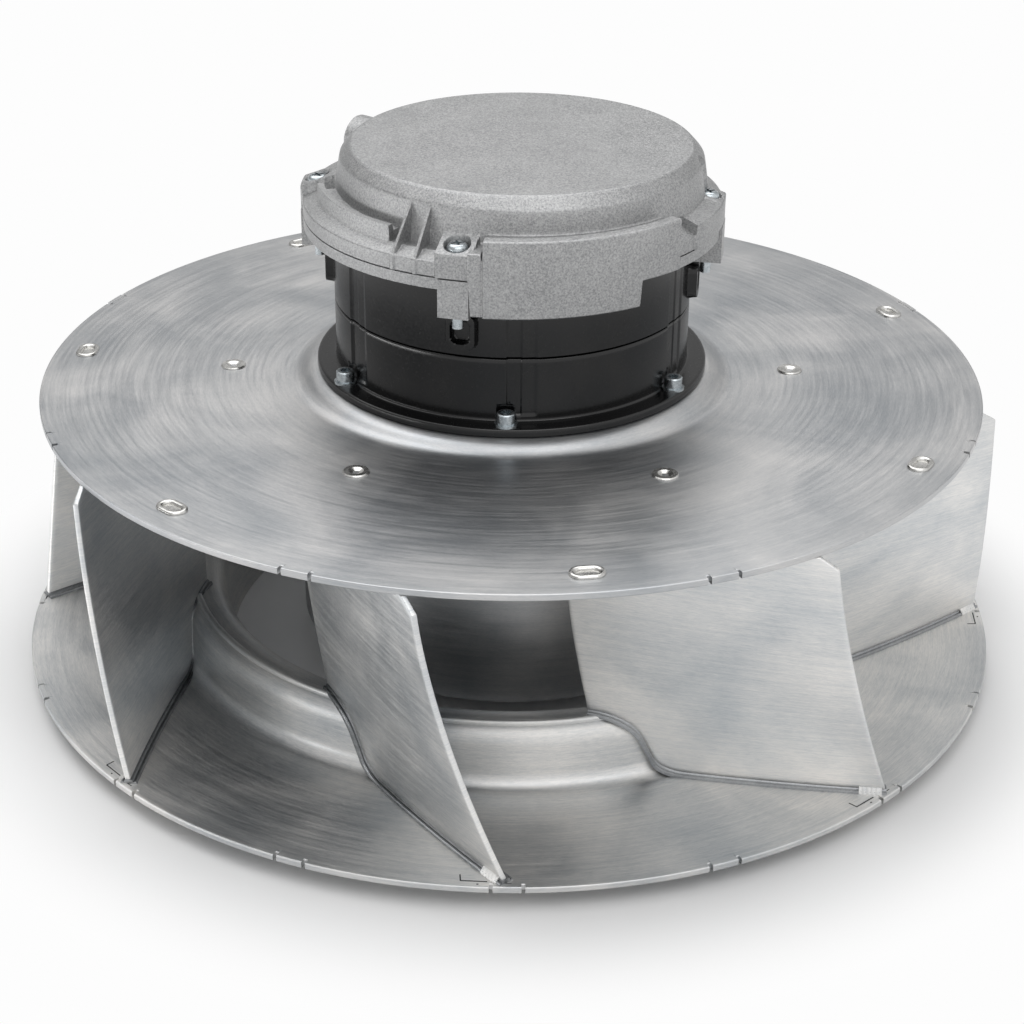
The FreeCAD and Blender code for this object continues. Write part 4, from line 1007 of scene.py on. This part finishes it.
# %% Cast aluminium
def blasted_casting(name, dark, light):
    """Shot-blasted die casting. The grit is 0.9 mm wide, coarser than the real 0.3 mm so that it
    shows, over faint clouds of 25 mm."""
    material, tree, shader = start_material(name, "#a9aaab", 1.0, 0.5)
    source = add(tree, "ShaderNodeTexCoord").outputs["Object"]
    grit = pattern(tree, source, (1.1, 1.1, 1.1), 3.0, 0.8)
    cloud = pattern(tree, source, (0.04, 0.04, 0.04), 2.0)
    tone = add(tree, "ShaderNodeMath", {"operation": "MULTIPLY_ADD"}, {1: 0.12}, {0: cloud, 2: grit})
    dress(tree, shader, (tone, 0.39, 0.75, dark, light), (grit, 0.3, 0.7, 0.44, 0.6), (grit, 0.2, 0.8))
    print(name, dark, "to", light)
    return material


blasted_cover = blasted_casting("blasted_cast_aluminium", "#868788", "#c2c2c2")


# %% [markdown]
# ### The other finishes
# The rest are small or hidden: coated, plated, ground, varnished or moulded pieces. Each could
# have patterns of its own, but one grain of the right size is enough at their scale, so one
# function makes them all. A grain may be stretched, as wire and laminations are.

# %% Other finishes
def grained(name, dark, light, metallic, roughness, grain_mm, relief_mm, stretch=(1, 1, 1)):
    """A finish with one grain: its colour, roughness and relief all follow the same noise."""
    material, tree, shader = start_material(name, light, metallic, roughness)
    source = add(tree, "ShaderNodeTexCoord").outputs["Object"]
    grain = pattern(tree, source, tuple(s / grain_mm for s in stretch), 3.0)
    dress(tree, shader, (grain, 0.3, 0.7, dark, light),
          (grain, 0.3, 0.7, roughness - 0.05, roughness + 0.06), (grain, relief_mm, 0.5))
    return material


finishes = {
    "mill_aluminium": rolled_sheet,
    "cast_aluminium": blasted_cover,
    # Powder coating: near black, with soft wide gleams
    "black_coating": grained("black_powder_coating", "#060607", "#0a0a0b", 0.0, 0.22, 1.2, 0.006),
    # Zinc plating: bluish white and bright, so the screws stand out on the black
    "zinc_steel": grained("bright_zinc_plating", "#a9b0b4", "#c9cfd2", 1.0, 0.27, 1.5, 0.01),
    # Polished steel: small warm glints on the rivets and the eyelets
    "bright_steel": grained("polished_steel", "#c0bfbc", "#dad9d6", 1.0, 0.26, 4.0, 0.005),
    # Ground steel: fine rings of gleam round the shaft and the bearings
    "bearing_steel": grained("ground_bearing_steel", "#8f9296", "#b5b8bb", 1.0, 0.22, 0.6, 0.005,
                             (1, 1, 6)),
    # Varnished laminations: dark, with thin lines where the sheets are stacked
    "core_steel": grained("varnished_laminations", "#34343a", "#5a5a5f", 1.0, 0.5, 8.0, 0.2,
                          (0.02, 0.02, 16)),
    # Enamelled copper: glossy red-brown in strands
    "copper_wire": grained("enamelled_copper", "#7a3a1c", "#b8662f", 1.0, 0.35, 0.9, 0.25, (0.05, 0.05, 1)),
    # Ground ferrite: flat stone-like dark grey
    "ferrite": grained("ground_ferrite", "#2b2b2c", "#3d3d3e", 0.0, 0.6, 0.7, 0.02),
    # Moulded rubber: dull black without gleams
    "gasket_rubber": grained("moulded_rubber", "#141414", "#1f1f1f", 0.0, 0.7, 0.8, 0.03),
    # Solder mask on laminate: satin dark green
    "board_laminate": grained("solder_masked_laminate", "#0c3a20", "#14532d", 0.0, 0.4, 6.0, 0.05),
    # Shrink sleeve: tight glossy blue-black film
    "capacitor_sleeve": grained("shrink_sleeve", "#0d1018", "#161b29", 0.0, 0.3, 4.0, 0.03),
    # Moulded polyamide: satin black
    "plug_plastic": grained("moulded_polyamide", "#171717", "#222222", 0.0, 0.5, 0.9, 0.02),
}
# Painted shade for the slits: the shade that a narrow cut holds, painted on dark bars as a thin black line
cut_shade = grained("shadow_in_cut_slits", "#141516", "#1e1f21", 0.0, 0.8, 1.0, 0.01)
print("finishes", sorted(finishes))


# %% Give the finishes out
def finish_of(piece):
    """The finish of a new piece: that of its slot, or a tone of its own with painted shade for the slits and
    the lips, and painted light for the shroud, the foot tabs and the blades.
    """
    if piece.name == "shroud_slits":
        return cut_shade
    if piece.name.endswith("lip"):
        return foot_lip_painted_shade
    if piece.name.startswith("inlet") or piece.name.endswith("foot_tab"):
        return shroud_sheet
    return blade_sheet_painted_light if piece.data.uv_layers else finishes[piece["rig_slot"]]


slots = {name: node.material_slots[0].material.name.split(".")[0] for name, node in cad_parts.items()}
dressed = [(node, finishes[slots[name]]) for name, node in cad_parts.items()]
dressed += [(piece, finish_of(piece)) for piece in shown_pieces() if "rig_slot" in piece]
for piece, finish in dressed:
    piece.data.materials.clear()
    piece.data.materials.append(finish)
print("finished", len(dressed), "pieces")

# %% [markdown]
# ## Floor
# The fan stands on a pale painted floor that runs on into a white background. A curved backdrop
# could do that, but it would throw light on the object from behind. So the floor is flat paint
# near the fan, where it takes the shadow, and further out it fades to plain white for the rays
# of the camera and of mirror-like reflections.

# %% Floor
floor_reach = 6.0
shadow_ends = (0.235, 0.31)
backdrop_white = "#fdfdfd"
floor_mesh = bpy.data.meshes.new("floor")
floor_mesh.from_pydata([(-floor_reach, -floor_reach, 0), (floor_reach, -floor_reach, 0),
                        (floor_reach, floor_reach, 0), (-floor_reach, floor_reach, 0)], [], [(0, 1, 2, 3)])
floor = bpy.data.objects.new("floor", floor_mesh)
bpy.context.scene.collection.objects.link(floor)
# Matt paint: it takes a soft shadow and gives no mirror image
floor_paint, tree, shader = start_material("pale_floor_paint", "#f7f7f7", 0.0, 0.9)
floor_mesh.materials.append(floor_paint)


def seen_rays(tree):
    """1 for rays from the camera, or through a mirror or glass; 0 for rays that carry light."""
    rays = add(tree, "ShaderNodeLightPath")
    seen = add(tree, "ShaderNodeMath", {"operation": "MAXIMUM"}, links={
        0: rays.outputs["Is Camera Ray"], 1: rays.outputs["Is Glossy Ray"]})
    return add(tree, "ShaderNodeMath", {"operation": "MAXIMUM"}, links={
        0: seen, 1: rays.outputs["Is Transmission Ray"]})


from_fan = add(tree, "ShaderNodeVectorMath", {"operation": "LENGTH"}, links={
    0: add(tree, "ShaderNodeTexCoord").outputs["Object"]}).outputs["Value"]
far_off = add(tree, "ShaderNodeMapRange", {"interpolation_type": "SMOOTHSTEP"},
              {"From Min": shadow_ends[0], "From Max": shadow_ends[1]}, {"Value": from_fan})
white_share = add(tree, "ShaderNodeMath", {"operation": "MULTIPLY"}, links={0: far_off, 1: seen_rays(tree)})
white = add(tree, "ShaderNodeEmission", values={"Color": linear(backdrop_white), "Strength": 1.0})
blend = add(tree, "ShaderNodeMixShader", links={0: white_share, 1: shader, 2: white})
tree.links.new(blend.outputs[0], tree.nodes["Material Output"].inputs["Surface"])
print("floor fades to white from", *shadow_ends, "m off the axis")

# %% [markdown]
# ## Light
# The fan was lit softly from all sides in a white studio. An even white world would do most of
# it, but metal then loses its shape. So the light and the reflections that the world gives fall
# off towards the back and the left, while the camera sees plain white, and three large soft
# lamps draw the long gleams: one above behind, one low at the left and one above in front.

# %% World
world = bpy.data.worlds.new("studio")
bpy.context.scene.world = world
world.use_nodes = True
tree = world.node_tree
level = add(tree, "ShaderNodeMapRange", values={"To Min": 0.6, "To Max": 1.0},
            links={"Value": seen_rays(tree)})
towards = add(tree, "ShaderNodeSeparateXYZ", links={
    "Vector": add(tree, "ShaderNodeTexCoord").outputs["Generated"]})
back = add(tree, "ShaderNodeMapRange", {"interpolation_type": "SMOOTHSTEP"},
           {"From Min": 0.0, "From Max": 0.9, "To Min": 1.0, "To Max": 0.5},
           {"Value": towards.outputs[1]})
left = add(tree, "ShaderNodeMapRange", {"interpolation_type": "SMOOTHSTEP"},
           {"From Min": -0.95, "From Max": -0.2, "To Min": 0.45, "To Max": 1.0},
           {"Value": towards.outputs[0]})
sides = add(tree, "ShaderNodeMath", {"operation": "MULTIPLY"}, links={0: left, 1: back})
sides = add(tree, "ShaderNodeMath", {"operation": "MAXIMUM"}, links={
    0: sides, 1: add(tree, "ShaderNodeLightPath").outputs["Is Camera Ray"]})
strength = add(tree, "ShaderNodeMath", {"operation": "MULTIPLY"}, links={0: level, 1: sides})
tree.links.new(strength.outputs[0], tree.nodes["Background"].inputs["Strength"])
tree.nodes["Background"].inputs["Color"].default_value = linear(backdrop_white)
print("world of", len(tree.nodes), "nodes")


# %% Lamps
def softbox(name, place, aim, wide, tall, watts):
    """A rectangular area lamp at a place, turned to an aim point, all in metres."""
    lamp = bpy.data.lights.new(name, "AREA")
    lamp.energy = watts
    lamp.shape = "RECTANGLE"
    lamp.size = wide
    lamp.size_y = tall
    box = bpy.data.objects.new(name, lamp)
    bpy.context.scene.collection.objects.link(box)
    box.location = place
    direction = Vector(aim) - Vector(place)
    box.rotation_euler = direction.to_track_quat("-Z", "Y").to_euler()
    box.visible_camera = False
    print(name, wide, "by", tall, "m,", watts, "W")


middle = (0.0, 0.0, 0.13)
softbox("top_back", (-0.3, 0.5, 1.5), middle, 2.0, 1.3, 14.0)
softbox("low_left", (-1.2, -0.3, 0.075), (0.0, -0.1, 0.075), 1.2, 0.12, 3.0)
softbox("top_front", (0.2, -0.9, 1.4), middle, 1.4, 0.9, 5.5)

# %% [markdown]
# ## Camera
# The camera stands where the picture was taken from. Its place could be found by trying, but
# the disc and the rim are circles at known heights, and their ellipses fix it. The distance in
# plate radii, the tilt, the small turns away from the plate's middle and the focal length were
# worked out once from these ellipses.

# %% Camera
distance = 4.5868 * plate_radius * MM
tilt = 0.4055
yaw, pitch, roll = -8.0e-4, -6.8e-2, -8.8e-3
focal_pixels = 2119.13
picture_pixels = 1024


def rotated(vector, axis, angle):
    """A vector turned about a unit axis by an angle."""
    axis = axis / np.linalg.norm(axis)
    return (vector * np.cos(angle) + np.cross(axis, vector) * np.sin(angle)
            + axis * (axis @ vector) * (1 - np.cos(angle)))


place = distance * np.array((0.0, -np.cos(tilt), np.sin(tilt)))
forward = -place / np.linalg.norm(place)
right = np.array((1.0, 0.0, 0.0))
up = np.cross(right, forward)
forward, right = rotated(forward, up, yaw), rotated(right, up, yaw)
forward, up = rotated(forward, right, pitch), rotated(up, right, pitch)
right, up = rotated(right, forward, roll), rotated(up, forward, roll)
lens = bpy.data.cameras.new("view")
lens.sensor_width = 36.0
lens.lens = focal_pixels * lens.sensor_width / picture_pixels
camera = bpy.data.objects.new("view", lens)
bpy.context.scene.collection.objects.link(camera)
matrix = np.eye(4)
matrix[:3, :3] = np.stack((right, up, -forward), axis=1)
matrix[:3, 3] = place + np.array((0, 0, plate_top * MM))
camera.matrix_world = Matrix(matrix.tolist())
bpy.context.scene.camera = camera
bpy.context.scene.view_settings.view_transform = "Standard"
print("camera at", [round(float(v), 3) for v in camera.location], "lens", round(lens.lens, 2))
